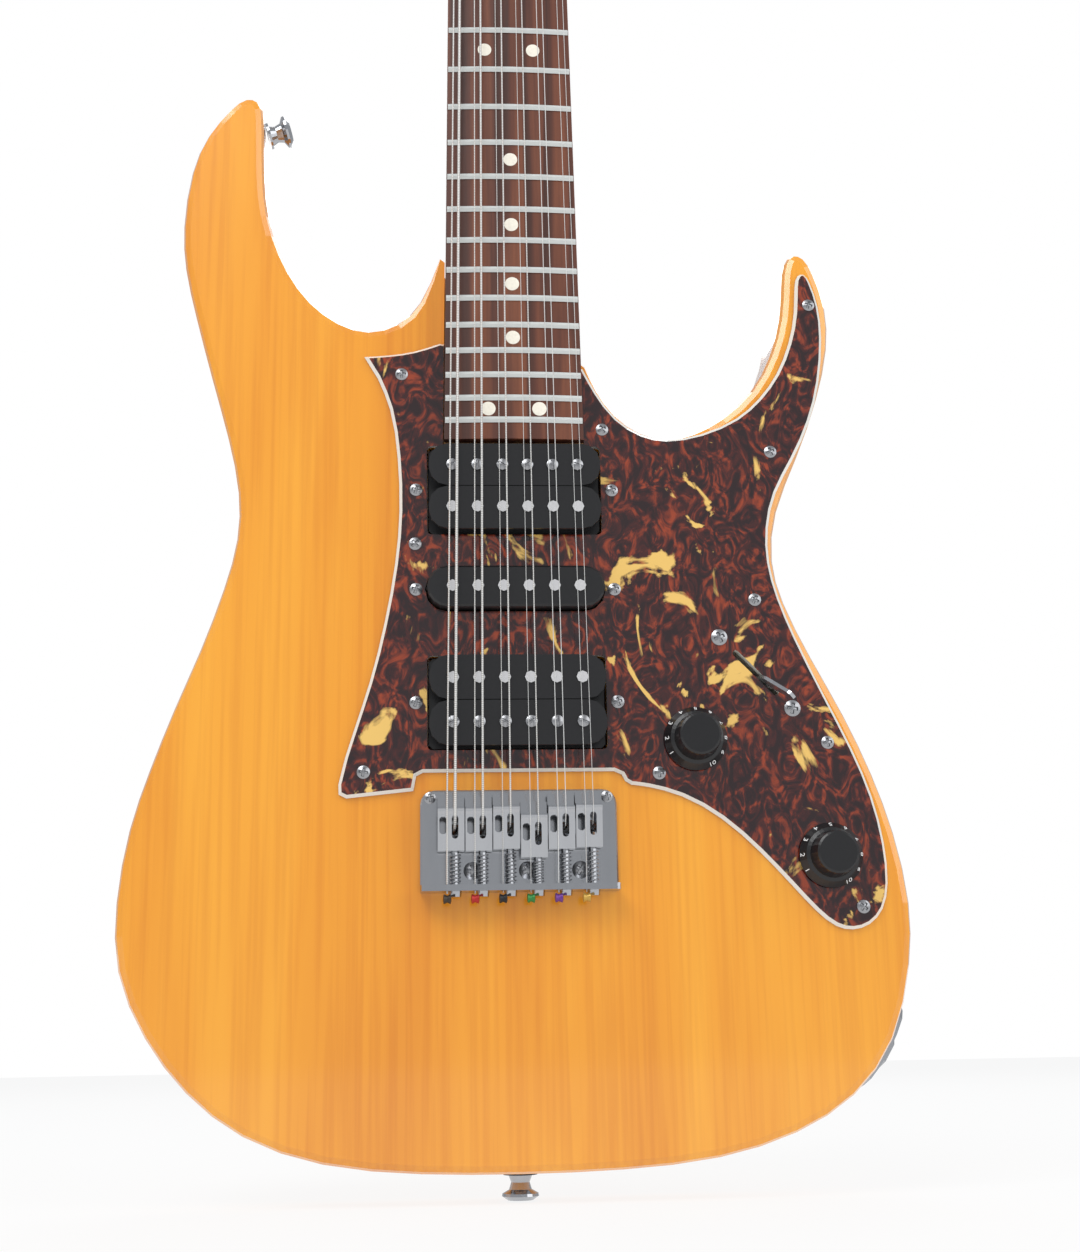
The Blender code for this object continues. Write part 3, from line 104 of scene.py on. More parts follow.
def linear(red: int, green: int, blue: int) -> Colour:
    """Turns an eight-bit display colour into the shader's linear colour.

    Args:
        red: Red from 0 to 255.
        green: Green from 0 to 255.
        blue: Blue from 0 to 255.

    Returns:
        The linear colour with full alpha.
    """
    parts = [channel / 255 for channel in (red, green, blue)]
    made = [part / 12.92 if part <= 0.04045 else ((part + 0.055) / 1.055) ** 2.4 for part in parts]
    return (*made, 1.0)


def in_metres(pairs: Sequence[tuple[float, float]]) -> list[tuple[float, float]]:
    """Pairs that are written in millimetres, in metres."""
    return [(first * MM, second * MM) for first, second in pairs]


class Nodes:
    """Short way to add and link the nodes of one tree."""

    def __init__(self, tree: bpy.types.NodeTree) -> None:
        """Keeps the tree that the nodes go into."""
        self.tree = tree

    def add(self, kind: str, inputs: dict | None = None, **fields) -> bpy.types.Node:
        """Adds a node, sets its fields, and sets or links its inputs.

        Args:
            kind: Blender's node type.
            inputs: Socket name or number to a value or to another node's output.
            **fields: Properties of the node.

        Returns:
            The new node.
        """
        node = self.tree.nodes.new(kind)
        for name, value in fields.items():
            setattr(node, name, value)
        for name, value in (inputs or {}).items():
            if isinstance(value, Socket):
                self.tree.links.new(value, node.inputs[name])
            else:
                node.inputs[name].default_value = value
        return node

    def ramp(self, value: Socket, stops: Sequence[tuple[float, Colour]]) -> Socket:
        """Adds a colour ramp.

        Args:
            value: What picks the place on the ramp.
            stops: Pairs of place and colour, from low to high.

        Returns:
            The ramp's colour.
        """
        node = self.add("ShaderNodeValToRGB", {0: value})
        steps = node.color_ramp.elements
        while len(steps) < len(stops):
            steps.new(0.5)
        for step, (place, colour) in zip(steps, stops):
            step.position = place
            step.color = colour
        return node.outputs["Color"]

    def mix(self, share: Socket | float, first: Socket | Colour, second: Socket | Colour) -> Socket:
        """Mixes two colours.

        Args:
            share: Share of the second colour.
            first: Colour where the share is nought.
            second: Colour where the share is one.

        Returns:
            The mixed colour.
        """
        inputs = {MIX_SHARE: share, MIX_FIRST: first, MIX_SECOND: second}
        return self.add("ShaderNodeMix", inputs, data_type="RGBA").outputs[MIX_RESULT]

    def calculate(self, operation: str, first: Socket | float, second: Socket | float) -> Socket:
        """Result of one sum on two values."""
        return self.add("ShaderNodeMath", {0: first, 1: second}, operation=operation).outputs[0]

    def coordinates(self) -> bpy.types.NodeOutputs:
        """Object coordinates as three separate outputs."""
        where = self.add("ShaderNodeTexCoord").outputs["Object"]
        return self.add("ShaderNodeSeparateXYZ", {0: where}).outputs

    def place(self, scale: Sequence[float]) -> Socket:
        """Object coordinates stretched by a scale."""
        where = self.add("ShaderNodeTexCoord").outputs["Object"]
        return self.add("ShaderNodeMapping", {"Vector": where, "Scale": tuple(scale)}).outputs[0]

    def noise(self, vector: Socket, detail: float, distortion: float = 0.0) -> Socket:
        """Value of a noise texture at the vector's own scale."""
        fields = {"Vector": vector, "Scale": 1.0, "Detail": detail, "Distortion": distortion}
        return self.add("ShaderNodeTexNoise", fields).outputs[0]

    def above(self, axis: int, limit: float) -> Socket:
        """Mask that is one where the object coordinate of an axis is over a limit."""
        return self.calculate("GREATER_THAN", self.coordinates()[axis], limit)


def make_fibre_group() -> None:
    """Makes the node group of wood fibres along Z, with a fine fibre and a broad band as values."""
    group = bpy.data.node_groups.new(FIBRE_GROUP, "ShaderNodeTree")
    group.interface.new_socket("Fibre", in_out="OUTPUT", socket_type="NodeSocketFloat")
    group.interface.new_socket("Band", in_out="OUTPUT", socket_type="NodeSocketFloat")
    nodes = Nodes(group)
    fine = nodes.noise(nodes.place((420, 420, 9)), detail=5.0)
    broad = nodes.noise(nodes.place((24, 24, 2.6)), detail=3.0, distortion=0.9)
    end = group.nodes.new("NodeGroupOutput")
    group.links.new(fine, end.inputs["Fibre"])
    group.links.new(broad, end.inputs["Band"])


@dataclass(frozen=True)
class Finish:
    """One material: a colour pattern with its gloss.

    Attributes:
        name: Material name.
        roughness: Principled roughness.
        pattern: Adds the colour nodes and returns the colour, and a height or None.
        metallic: Principled metallic share.
        coat: Weight of a clear coat.
        bump: Depth of the height in metres.
        coat_roughness: Roughness of the clear coat.
        bump_strength: Share of the relief that shows.
    """

    name: str
    roughness: float
    pattern: Pattern
    metallic: float = 0.0
    coat: float = 0.0
    bump: float = 0.0
    coat_roughness: float = 0.06
    bump_strength: float = 0.6

    def build(self) -> bpy.types.Material:
        """Makes the material.

        Returns:
            The new material.
        """
        made = bpy.data.materials.new(self.name)
        made.use_nodes = True
        nodes = Nodes(made.node_tree)
        shader = made.node_tree.nodes["Principled BSDF"]
        colour, height = self.pattern(nodes)
        made.node_tree.links.new(colour, shader.inputs["Base Color"])
        shader.inputs["Roughness"].default_value = self.roughness
        shader.inputs["Metallic"].default_value = self.metallic
        shader.inputs["Coat Weight"].default_value = self.coat
        shader.inputs["Coat Roughness"].default_value = self.coat_roughness
        if height is not None:
            depth = {"Height": height, "Distance": self.bump, "Strength": self.bump_strength}
            relief = nodes.add("ShaderNodeBump", depth)
            made.node_tree.links.new(relief.outputs[0], shader.inputs["Normal"])
        return made


def wood_fibres(nodes: Nodes) -> tuple[Socket, Socket]:
    """Fine fibre and broad band of the wood group."""
    group = nodes.add("ShaderNodeGroup", node_tree=bpy.data.node_groups[FIBRE_GROUP])
    return group.outputs["Fibre"], group.outputs["Band"]


def amber_pattern(nodes: Nodes) -> tuple[Socket, Socket]:
    """Amber stain over straight grain.

    Args:
        nodes: Where the nodes go.

    Returns:
        The colour and the height.
    """
    fibre, band = wood_fibres(nodes)
    stain = ((0.3, linear(222, 134, 18)), (0.5, linear(234, 150, 26)), (0.7, linear(243, 166, 40)))
    streak = ((0.36, linear(206, 118, 16)), (0.56, linear(244, 168, 42)))
    return nodes.mix(0.22, nodes.ramp(band, stain), nodes.ramp(fibre, streak)), fibre


def maple_pattern(nodes: Nodes) -> tuple[Socket, Socket]:
    """Pale straight-grained wood.

    Args:
        nodes: Where the nodes go.

    Returns:
        The colour and the height.
    """
    fibre, band = wood_fibres(nodes)
    ground = nodes.ramp(band, ((0.3, linear(205, 150, 92)), (0.7, linear(232, 186, 126))))
    return ground, fibre


def rosewood_pattern(nodes: Nodes) -> tuple[Socket, Socket]:
    """Red-brown wood with dark stripes.

    Args:
        nodes: Where the nodes go.

    Returns:
        The colour and the height.
    """
    fibre, _ = wood_fibres(nodes)
    stripe = nodes.noise(nodes.place((130, 60, 4)), detail=4.0, distortion=0.8)
    browns = ((0.36, linear(48, 24, 18)), (0.5, linear(104, 54, 36)), (0.64, linear(146, 84, 54)))
    return nodes.mix(fibre, nodes.ramp(stripe, browns), linear(74, 38, 26)), fibre


def fretboard_pattern(crown: float) -> Pattern:
    """Striped board whose frets, the parts that stand over the radiused face, are steel.

    Args:
        crown: Depth of the limit between board and fret at the middle of the board.

    Returns:
        The pattern function.
    """

    def pattern(nodes: Nodes) -> tuple[Socket, Socket]:
        """Adds the board's nodes and returns the colour and the height."""
        ground, height = rosewood_pattern(nodes)
        across, depth, _ = nodes.coordinates()
        square = nodes.calculate("MULTIPLY", across, across)
        drop = nodes.calculate("MULTIPLY", square, 0.5 / BOARD_RADIUS)
        level = nodes.calculate("SUBTRACT", depth, drop)
        wood = nodes.calculate("GREATER_THAN", level, crown)
        return nodes.mix(wood, linear(206, 210, 208), ground), height

    return pattern


def tortoise_pattern(face: float) -> Pattern:
    """Dark red shell with streaks and blotches; a white layer shows on the bevelled edge.

    Args:
        face: Plane along Y behind which the guard's edge starts.

    Returns:
        The pattern function.
    """

    def pattern(nodes: Nodes) -> tuple[Socket, None]:
        """Adds the shell's nodes and returns the colour, with no height."""
        streak = nodes.noise(nodes.place((120, 120, 80)), detail=5.0, distortion=3.0)
        blotch = nodes.noise(nodes.place((30, 30, 24)), detail=6.0, distortion=2.6)
        reds = ((0.40, linear(34, 13, 16)), (0.52, linear(66, 22, 20)), (0.68, linear(148, 58, 28)))
        cream = nodes.ramp(blotch, ((0.61, (0, 0, 0, 1)), (0.65, (1, 1, 1, 1))))
        shell = nodes.mix(cream, nodes.ramp(streak, reds), linear(232, 190, 104))
        return nodes.mix(nodes.above(1, face), shell, linear(236, 234, 226)), None

    return pattern


def plastic_pattern(colour: Colour) -> Pattern:
    """Moulded plastic with a faint variation.

    Args:
        colour: The plastic's colour, to which the specks add a little light.

    Returns:
        The pattern function.
    """
    light = tuple(min(1.0, part * 1.25 + 0.002) for part in colour[:3])

    def pattern(nodes: Nodes) -> tuple[Socket, Socket]:
        """Adds the plastic's nodes and returns the colour and the height."""
        speck = nodes.noise(nodes.place((900, 900, 900)), detail=2.0)
        return nodes.mix(speck, colour, (*light, 1.0)), speck

    return pattern


def pickup_pattern(pole_plane: float) -> Pattern:
    """Black bobbins whose poles, the parts in front of a plane, are bright steel.

    Args:
        pole_plane: Plane along Y between the poles' faces and the bobbins.

    Returns:
        The pattern function.
    """

    def pattern(nodes: Nodes) -> tuple[Socket, Socket]:
        """Adds the pickup's nodes and returns the colour and the height."""
        plastic, height = plastic_pattern(linear(22, 22, 24))(nodes)
        return nodes.mix(nodes.above(1, pole_plane), linear(196, 196, 198), plastic), height

    return pattern


def metal_pattern(colour: Colour) -> Pattern:
    """Plated metal with faint polishing marks.

    Args:
        colour: The metal's colour, which the haze dulls a little.

    Returns:
        The pattern function.
    """
    dull = tuple(part * 0.9 for part in colour[:3])

    def pattern(nodes: Nodes) -> tuple[Socket, Socket]:
        """Adds the metal's nodes and returns the colour and the height."""
        haze = nodes.noise(nodes.place((300, 300, 60)), detail=3.0)
        return nodes.mix(haze, colour, (*dull, 1.0)), haze

    return pattern


def wound_pattern(nodes: Nodes) -> tuple[Socket, Socket]:
    """Wrapped wire: fine ridges along the string, with painted shade in the grooves and a painted highlight
    on the crests.

    Args:
        nodes: Where the nodes go.

    Returns:
        The colour and the height.
    """
    along = {"Vector": nodes.place((0, 0, 1)), "Scale": 420.0}
    ridges = nodes.add("ShaderNodeTexWave", along, bands_direction="Z").outputs[1]
    # The ridge wave drives the bump and also the colour: darker grey in the grooves is painted shade,
    # lighter grey on the crests is a painted highlight.
    return nodes.ramp(ridges, ((0.0, linear(190, 188, 184)), (1.0, linear(240, 239, 236)))), ridges


class Finishes:
    """The materials of the object."""

    GUARD_EDGE_DEPTH = 0.15 * MM
    FRET_CROWN_DEPTH = 0.85 * MM
    POLE_FACE_DEPTH = 0.35 * MM

    def __init__(self) -> None:
        """Makes all the materials but those of the pickups and the ball ends."""
        make_fibre_group()
        guard_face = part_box("pickguard")[0].y + self.GUARD_EDGE_DEPTH
        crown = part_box("fretboard")[0].y + self.FRET_CROWN_DEPTH
        self.amber = Finish("amber_gloss", 0.22, amber_pattern, coat=1.0, bump=0.02 * MM).build()
        self.maple = Finish("maple_satin", 0.38, maple_pattern, coat=0.2, bump=0.02 * MM).build()
        self.board = Finish("striped_board", 0.45, fretboard_pattern(crown), bump=0.03 * MM).build()
        bone = plastic_pattern(linear(236, 230, 214))
        self.bone = Finish("nut_bone", 0.4, bone, bump=0.005 * MM).build()
        self.shell = Finish("tortoiseshell_gloss", 0.12, tortoise_pattern(guard_face), coat=0.6).build()
        moulded = plastic_pattern(linear(20, 20, 22))
        self.black = Finish("black_moulded", 0.28, moulded, bump=0.004 * MM).build()
        felt = plastic_pattern(linear(28, 28, 30))
        self.felt = Finish("black_felt", 0.8, felt, bump=0.02 * MM).build()
        plate = metal_pattern(linear(182, 184, 188))
        self.chrome = Finish("chrome_plate", 0.17, plate, metallic=1.0).build()
        steel = metal_pattern(linear(164, 165, 168))
        self.steel = Finish("plain_steel", 0.3, steel, metallic=1.0).build()
        self.wound = Finish("wound_steel", 0.42, wound_pattern, metallic=0.55, bump=0.05 * MM).build()
        wire = metal_pattern(linear(240, 240, 238))
        self.wire = Finish("plain_wire", 0.35, wire, metallic=0.6).build()
        marks = plastic_pattern(linear(240, 240, 238))
        self.white = Finish("white_marks", 0.5, marks, bump=0.002 * MM).build()
        pearl = plastic_pattern(linear(232, 226, 212))
        self.pearl = Finish("pearl_dots", 0.2, pearl, bump=0.004 * MM).build()

    def pickup(self, node: str) -> bpy.types.Material:
        """Material of one pickup, whose poles show as steel."""
        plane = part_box(node)[0].y + self.POLE_FACE_DEPTH
        return Finish(f"{node}_finish", 0.3, pickup_pattern(plane), bump=0.004 * MM).build()


def dress_nodes(frame: dict, finishes: Finishes) -> None:
    """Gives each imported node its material.

    Args:
        finishes: The object's materials.
    """
    plain = {
        "body": finishes.amber, "neck": finishes.maple, "fretboard": finishes.board, "nut": finishes.bone,
        "pickguard": finishes.shell, "volume_knob": finishes.black, "tone_knob": finishes.black,
    }
    wound = {f"string_{number}" for number in WOUND_STRINGS}
    for name, node in frame["nodes"].items():
        if name in plain:
            chosen = plain[name]
        elif name.endswith("_pickup"):
            chosen = finishes.pickup(name)
        elif name.startswith("string_"):
            chosen = finishes.wound if name in wound else finishes.wire
        else:
            chosen = finishes.chrome
        for slot in node.material_slots:
            slot.material = chosen


def add_piece(
    name: str, mesh: bpy.types.Mesh, finish: bpy.types.Material, place: Matrix, body: str = ROOT
) -> None:
    """Links a copy of a mesh as a piece, puts it in place and lets it ride on its body.

    Args:
        name: Name of the piece.
        mesh: Its mesh in local coordinates.
        finish: Its material.
        place: Matrix from local coordinates to the frame.
        body: The body it rides on.
    """
    piece = bpy.data.objects.new(name, mesh.copy())
    piece.data.materials.clear()
    piece.data.materials.append(finish)
    piece.data.transform(place)
    bpy.context.scene.collection.objects.link(piece)
    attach(piece, body)


def facing(x: float, y: float, z: float, out: Sequence[float] = FRONT, turn: float = 0.0) -> Matrix:
    """Places a piece whose local Z points out of the surface that carries it.

    Args:
        x: Place along X.
        y: Place along Y.
        z: Place along Z.
        out: Direction of the local Z.
        turn: Turn about the local Z in radians.

    Returns:
        The matrix from local coordinates to the frame.
    """
    axis = Vector(out).normalized()
    side = Vector((1, 0, 0)) if abs(axis.x) < ALMOST_SIDEWAYS else Vector((0, 1, 0))
    side = (side - axis * side.dot(axis)).normalized()
    basis = Matrix((side, axis.cross(side), axis)).transposed().to_4x4()
    return Matrix.Translation((x, y, z)) @ basis @ Matrix.Rotation(turn, 4, "Z")


def skin_rings(shaper: bmesh.types.BMesh, rings: Sequence[Sequence[bmesh.types.BMVert]]) -> None:
    """Joins rings of vertices with quads and closes both ends.

    Args:
        shaper: The mesh under construction.
        rings: Rings with the same number of vertices, in order.
    """
    for low, high in zip(rings, rings[1:]):
        for side in range(len(low)):
            after = (side + 1) % len(low)
            shaper.faces.new((low[side], low[after], high[after], high[side]))
    shaper.faces.new(rings[0][::-1])
    shaper.faces.new(rings[-1])


def lathe(
    profile: Sequence[tuple[float, float]],
    sides: int = 24,
    relief: Callable[[float, float], float] | None = None,
) -> bpy.types.Mesh:
    """Turned solid from (radius, height) pairs, with an optional change of height by place.

    Args:
        profile: Pairs from the foot to the crown; the first and last close the solid.
        sides: Steps round the axis.
        relief: Function of x and y that gives a depth to take off every ring but the first two.

    Returns:
        The mesh.
    """
    shaper = bmesh.new()
    rings = []
    for index, (radius, height) in enumerate(profile):
        ring = []
        for step in range(sides):
            angle = 2 * math.pi * step / sides
            x, y = radius * math.cos(angle), radius * math.sin(angle)
            depth = relief(x, y) if relief and index > 1 else 0.0
            ring.append(shaper.verts.new((x, y, height - depth)))
        rings.append(ring)
    skin_rings(shaper, rings)
    mesh = bpy.data.meshes.new("turned")
    shaper.to_mesh(mesh)
    shaper.free()
    mesh.shade_smooth()
    mesh.set_sharp_from_angle(angle=SHARP_ANGLE)
    return mesh


@dataclass(frozen=True)
class ScrewHead:
    """Domed screw head with its recess.

    Attributes:
        radius: Radius of the head.
        height: Height of the dome.
        recess: Cross or slot.
        rim: Share of the height that stands upright at the edge.
        recess_depth: Depth of the recess as a share of the height.
        half_width: Half the width of the recess as a share of the radius.
        cross_reach: Reach of the cross's arms as a share of the radius.
        slot_reach: Reach of the slot as a share of the radius.
        tip: Radius of the small flat that closes the crown, as a share of the radius.
        dome_steps: Steps from the rim to the crown.
        sides: Steps round the axis.
    """

    radius: float
    height: float
    recess: Recess
    rim: float = 0.25
    recess_depth: float = 0.6
    half_width: float = 0.17
    cross_reach: float = 0.62
    slot_reach: float = 0.98
    tip: float = 0.04
    dome_steps: int = 10
    sides: int = 48

    def relief(self, x: float, y: float) -> float:
        """Depth of the recess at a place.

        Args:
            x: Place along the slot.
            y: Place across the slot.

        Returns:
            The depth to take off there.
        """
        half = self.radius * self.half_width
        reach = self.radius * (self.cross_reach if self.recess is Recess.CROSS else self.slot_reach)
        along = abs(y) < half and abs(x) < reach
        across = self.recess is Recess.CROSS and abs(x) < half and abs(y) < reach
        return self.height * self.recess_depth if along or across else 0.0

    def mesh(self) -> bpy.types.Mesh:
        """Makes the head.

        Returns:
            The mesh, with its foot at nought.
        """
        profile = [(self.radius, 0.0), (self.radius, self.height * self.rim)]
        for step in range(1, self.dome_steps):
            share = step / self.dome_steps
            rise = self.rim + (1 - self.rim) * math.sin(share * math.pi / 2)
            profile.append((self.radius * (1 - share), self.height * rise))
        profile.append((self.radius * self.tip, self.height))
        return lathe(profile, self.sides, self.relief)


@dataclass
class Fasteners:
    """Screws on the guard, the pickups, the selector and the bridge.

    Attributes:
        finishes: The object's materials.
        guard_places: X and height up of the guard's screws in millimetres.
        selector_places: X and height up of the selector's screws in millimetres.
        large_places: X of the bridge's large screws in millimetres.
        corner_places: X of the bridge's corner screws in millimetres.
        pickup_reach: From the pickup's middle to its screws.
        plate_behind_guard: Depth of the bridge screws' seat behind the guard's face.
        large_up: Height of the large screws over the foot of the bridge plate.
        corner_up: Height of the corner screws over the foot of the bridge plate.
        pole_row: From the pickup's middle to its row of screws.
        pole_pitch: From one pole screw to the next.
        lift: How far a head's foot stands off its seat.
        guard_head: Head of the guard's and the pickups' screws.
        selector_head: Head of the selector's screws.
        large_head: Head of the bridge's large screws.
        corner_head: Head of the bridge's corner screws.
        pole_head: Head of the pole screws.
        guard_turn: Turn from one guard screw's cross to the next.
        selector_turn: Turn of the first selector screw, with a radian more on the second.
        pickup_turn: Turn of a pickup screw, with the other sign on the bass side.
        large_turn: Turn from one large bridge screw to the next.
        corner_turn: Turn of the corner screws.
        pole_turn: Turn of the first pole screw.
        pole_turn_step: Turn from one pole screw to the next.
    """

    finishes: Finishes
    guard_places: tuple[tuple[float, float], ...] = (
        (-46.5, 317.2), (-40.8, 243.7), (-61.0, 150.7), (37.1, 293.2), (127.9, 350.2), (107.8, 283.8),
        (98.0, 220.1), (124.6, 161.2), (135.0, 96.4), (56.1, 149.5),
    )
    selector_places: tuple[tuple[float, float], ...] = ((82.6, 204.4), (111.1, 175.1))
    large_places: tuple[float, ...] = (-18.5, 3.1, 23.9)
    corner_places: tuple[float, ...] = (-34.9, 34.9)
    pickup_reach: float = 40.4 * MM
    plate_behind_guard: float = 0.35 * MM
    large_up: float = 10.2 * MM
    corner_up: float = 38.6 * MM
    pole_row: float = 8.9 * MM
    pole_pitch: float = 10.3 * MM
    lift: float = 0.02 * MM
    guard_head: ScrewHead = ScrewHead(2.6 * MM, 1.1 * MM, Recess.CROSS)
    selector_head: ScrewHead = ScrewHead(3.3 * MM, 1.3 * MM, Recess.CROSS)
    large_head: ScrewHead = ScrewHead(3.4 * MM, 1.6 * MM, Recess.CROSS)
    corner_head: ScrewHead = ScrewHead(2.3 * MM, 0.9 * MM, Recess.CROSS)
    pole_head: ScrewHead = ScrewHead(2.35 * MM, 0.7 * MM, Recess.SLOT)
    guard_turn: float = 0.7
    selector_turn: float = 0.4
    pickup_turn: float = 0.3
    large_turn: float = 0.5
    corner_turn: float = 0.2
    pole_turn: float = 0.4
    pole_turn_step: float = 1.1

    def build(self) -> None:
        """Makes all the screws."""
        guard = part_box("pickguard")[0].y
        self.guard_screws(guard)
        self.bridge_screws(guard + self.plate_behind_guard)
        self.pole_screws()

    def put(self, name: str, mesh: bpy.types.Mesh, x: float, y: float, z: float, turn: float) -> None:
        """Puts one screw on a front face."""
        add_piece(name, mesh, self.finishes.steel, facing(x, y - self.lift, z, turn=turn))

    def guard_screws(self, guard: float) -> None:
        """Screws that stand on the guard's face.

        Args:
            guard: Place of the face along Y.
        """
        small = self.guard_head.mesh()
        wide = self.selector_head.mesh()
        for number, (x, up) in enumerate(self.guard_places):
            turn = number * self.guard_turn
            self.put(f"guard_screw_{number + 1}", small, x * MM, guard, TAIL_REACH + up * MM, turn)
        for number, (x, up) in enumerate(self.selector_places):
            turn = self.selector_turn + number
            self.put(f"selector_screw_{number + 1}", wide, x * MM, guard, TAIL_REACH + up * MM, turn)
        for node in ("neck_pickup", "middle_pickup", "bridge_pickup"):
            low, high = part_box(node)
            for side in (-1, 1):
                name = f"{node}_screw_{'bass' if side < 0 else 'treble'}"
                turn = self.pickup_turn * side
                self.put(name, small, side * self.pickup_reach, guard, (low.z + high.z) / 2, turn)

    def bridge_screws(self, level: float) -> None:
        """Screws that hold the bridge plate.

        Args:
            level: Place of their seat along Y.
        """
        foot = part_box("bridge_plate")[0].z
        large = self.large_head.mesh()
        corner = self.corner_head.mesh()
        for number, x in enumerate(self.large_places):
            turn = self.large_turn * number
            self.put(f"bridge_screw_{number + 1}", large, x * MM, level, foot + self.large_up, turn)
        for number, x in enumerate(self.corner_places):
            name = f"bridge_corner_screw_{number + 1}"
            self.put(name, corner, x * MM, level, foot + self.corner_up, self.corner_turn)

    def pole_screws(self) -> None:
        """Slotted heads on the outer row of poles of each double-coil pickup."""
        head = self.pole_head.mesh()
        for node, side in (("neck_pickup", 1), ("bridge_pickup", -1)):
            low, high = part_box(node)
            row = (low.z + high.z) / 2 + side * self.pole_row
            for number in range(COURSES):
                x = (number - (COURSES - 1) / 2) * self.pole_pitch
                turn = self.pole_turn + number * self.pole_turn_step
                self.put(f"{node}_pole_{number + 1}", head, x, low.y, row, turn)


@dataclass
class BridgeFittings:
    """Springs, ball ends and ferrules of the six courses.

    Attributes:
        finishes: The object's materials.
        ball_colours: Display colours of the ball ends, from the bass side.
        ball_profile: Radius and height of a ball end in millimetres.
        ball_sides: Steps round a ball end.
        ball_depth: Depth of the ball ends behind the front of the bridge plate's box.
        ball_down: From the string's end down to its ball end.
        half_pair: From the course's middle to each of its two strings.
        ferrule_profile: Radius and height of a ferrule in millimetres.
        ferrule_up: From the through string's lowest point up to the ferrule's middle.
        screw_aside: From the course's middle to its intonation screw.
        screw_over_back: From the plate's back to the intonation screw's axis.
        head_height: Height of the intonation screws' heads behind the flange.
        spring_from: From the flange's rear to the spring's rear end.
        spring_shorter: How much shorter the spring is than the way from the flange's rear to the saddle.
        spring_turns: Number of turns.
        spring_radius: Radius of the coil.
        spring_wire: Radius of the wire.
        turn_steps: Steps of one turn.
        wire_sides: Sides of the wire.
    """

    finishes: Finishes
    ball_colours: tuple[tuple[int, int, int], ...] = (
        (60, 52, 44), (176, 40, 36), (34, 34, 36), (52, 128, 62), (108, 58, 140), (196, 158, 74),
    )
    ball_profile: tuple[tuple[float, float], ...] = (
        (1.0, -1.6), (1.9, -1.3), (1.35, 0.0), (1.9, 1.3), (1.0, 1.6),
    )
    ball_sides: int = 20
    ball_depth: float = 1.9 * MM
    ball_down: float = 2.0 * MM
    half_pair: float = 1.55 * MM
    ferrule_profile: tuple[tuple[float, float], ...] = (
        (2.4, -0.1), (4.2, 0.02), (4.2, 0.5), (3.6, 0.9), (2.6, 0.8), (1.6, 0.3),
    )
    ferrule_up: float = 0.3 * MM
    screw_aside: float = 1.6 * MM
    screw_over_back: float = 6.0 * MM
    head_height: float = 2.0 * MM
    spring_from: float = 2.6 * MM
    spring_shorter: float = 3.9 * MM
    spring_turns: int = 8
    spring_radius: float = 2.1 * MM
    spring_wire: float = 0.28 * MM
    turn_steps: int = 12
    wire_sides: int = 6

    def build(self) -> None:
        """Makes the fittings of each course."""
        plate_low, plate_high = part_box("bridge_plate")
        flange = plate_low.z + self.head_height
        ball = lathe(in_metres(self.ball_profile), self.ball_sides)
        ferrule = lathe(in_metres(self.ferrule_profile))
        for number, colour in enumerate(self.ball_colours, start=1):
            low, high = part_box(f"saddle_{number}")
            middle = (low.x + high.x) / 2
            spring = self.spring(low.z - flange - self.spring_shorter)
            depth = plate_high.y - self.screw_over_back
            place = Matrix.Translation((middle + self.screw_aside, depth, flange + self.spring_from))
            add_piece(f"intonation_spring_{number}", spring, self.finishes.steel, place)
            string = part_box(f"string_{2 * number - 1}")[0]
            paint = Finish(f"ball_end_{number}", 0.3, metal_pattern(linear(*colour)), metallic=0.4).build()
            depth = plate_low.y + self.ball_depth
            place = facing(middle - self.half_pair, depth, string.z - self.ball_down, (1, 0, 0))
            add_piece(f"ball_end_{number}", ball, paint, place)
            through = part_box(f"string_{2 * number}")[0]
            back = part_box("body")[1].y
            place = facing(middle + self.half_pair, back, through.z + self.ferrule_up, (0, 1, 0))
            add_piece(f"string_ferrule_{number}", ferrule, self.finishes.chrome, place)

    def spring(self, length: float) -> bpy.types.Mesh:
        """Coil spring along Z.

        Args:
            length: Its length.

        Returns:
            The mesh.
        """
        steps = self.spring_turns * self.turn_steps
        shaper = bmesh.new()
        rings = []
        for step in range(steps + 1):
            angle = 2 * math.pi * self.spring_turns * step / steps
            out = Vector((math.cos(angle), math.sin(angle), 0))
            middle = out * self.spring_radius + Vector((0, 0, length * step / steps))
            ring = []
            for side in range(self.wire_sides):
                turn = 2 * math.pi * side / self.wire_sides
                rise = Vector((0, 0, self.spring_wire * math.sin(turn)))
                ring.append(shaper.verts.new(middle + out * self.spring_wire * math.cos(turn) + rise))
            rings.append(ring)
        skin_rings(shaper, rings)
        bmesh.ops.recalc_face_normals(shaper, faces=shaper.faces)
        mesh = bpy.data.meshes.new("spring")
        shaper.to_mesh(mesh)
        shaper.free()
        mesh.shade_smooth()
        return mesh


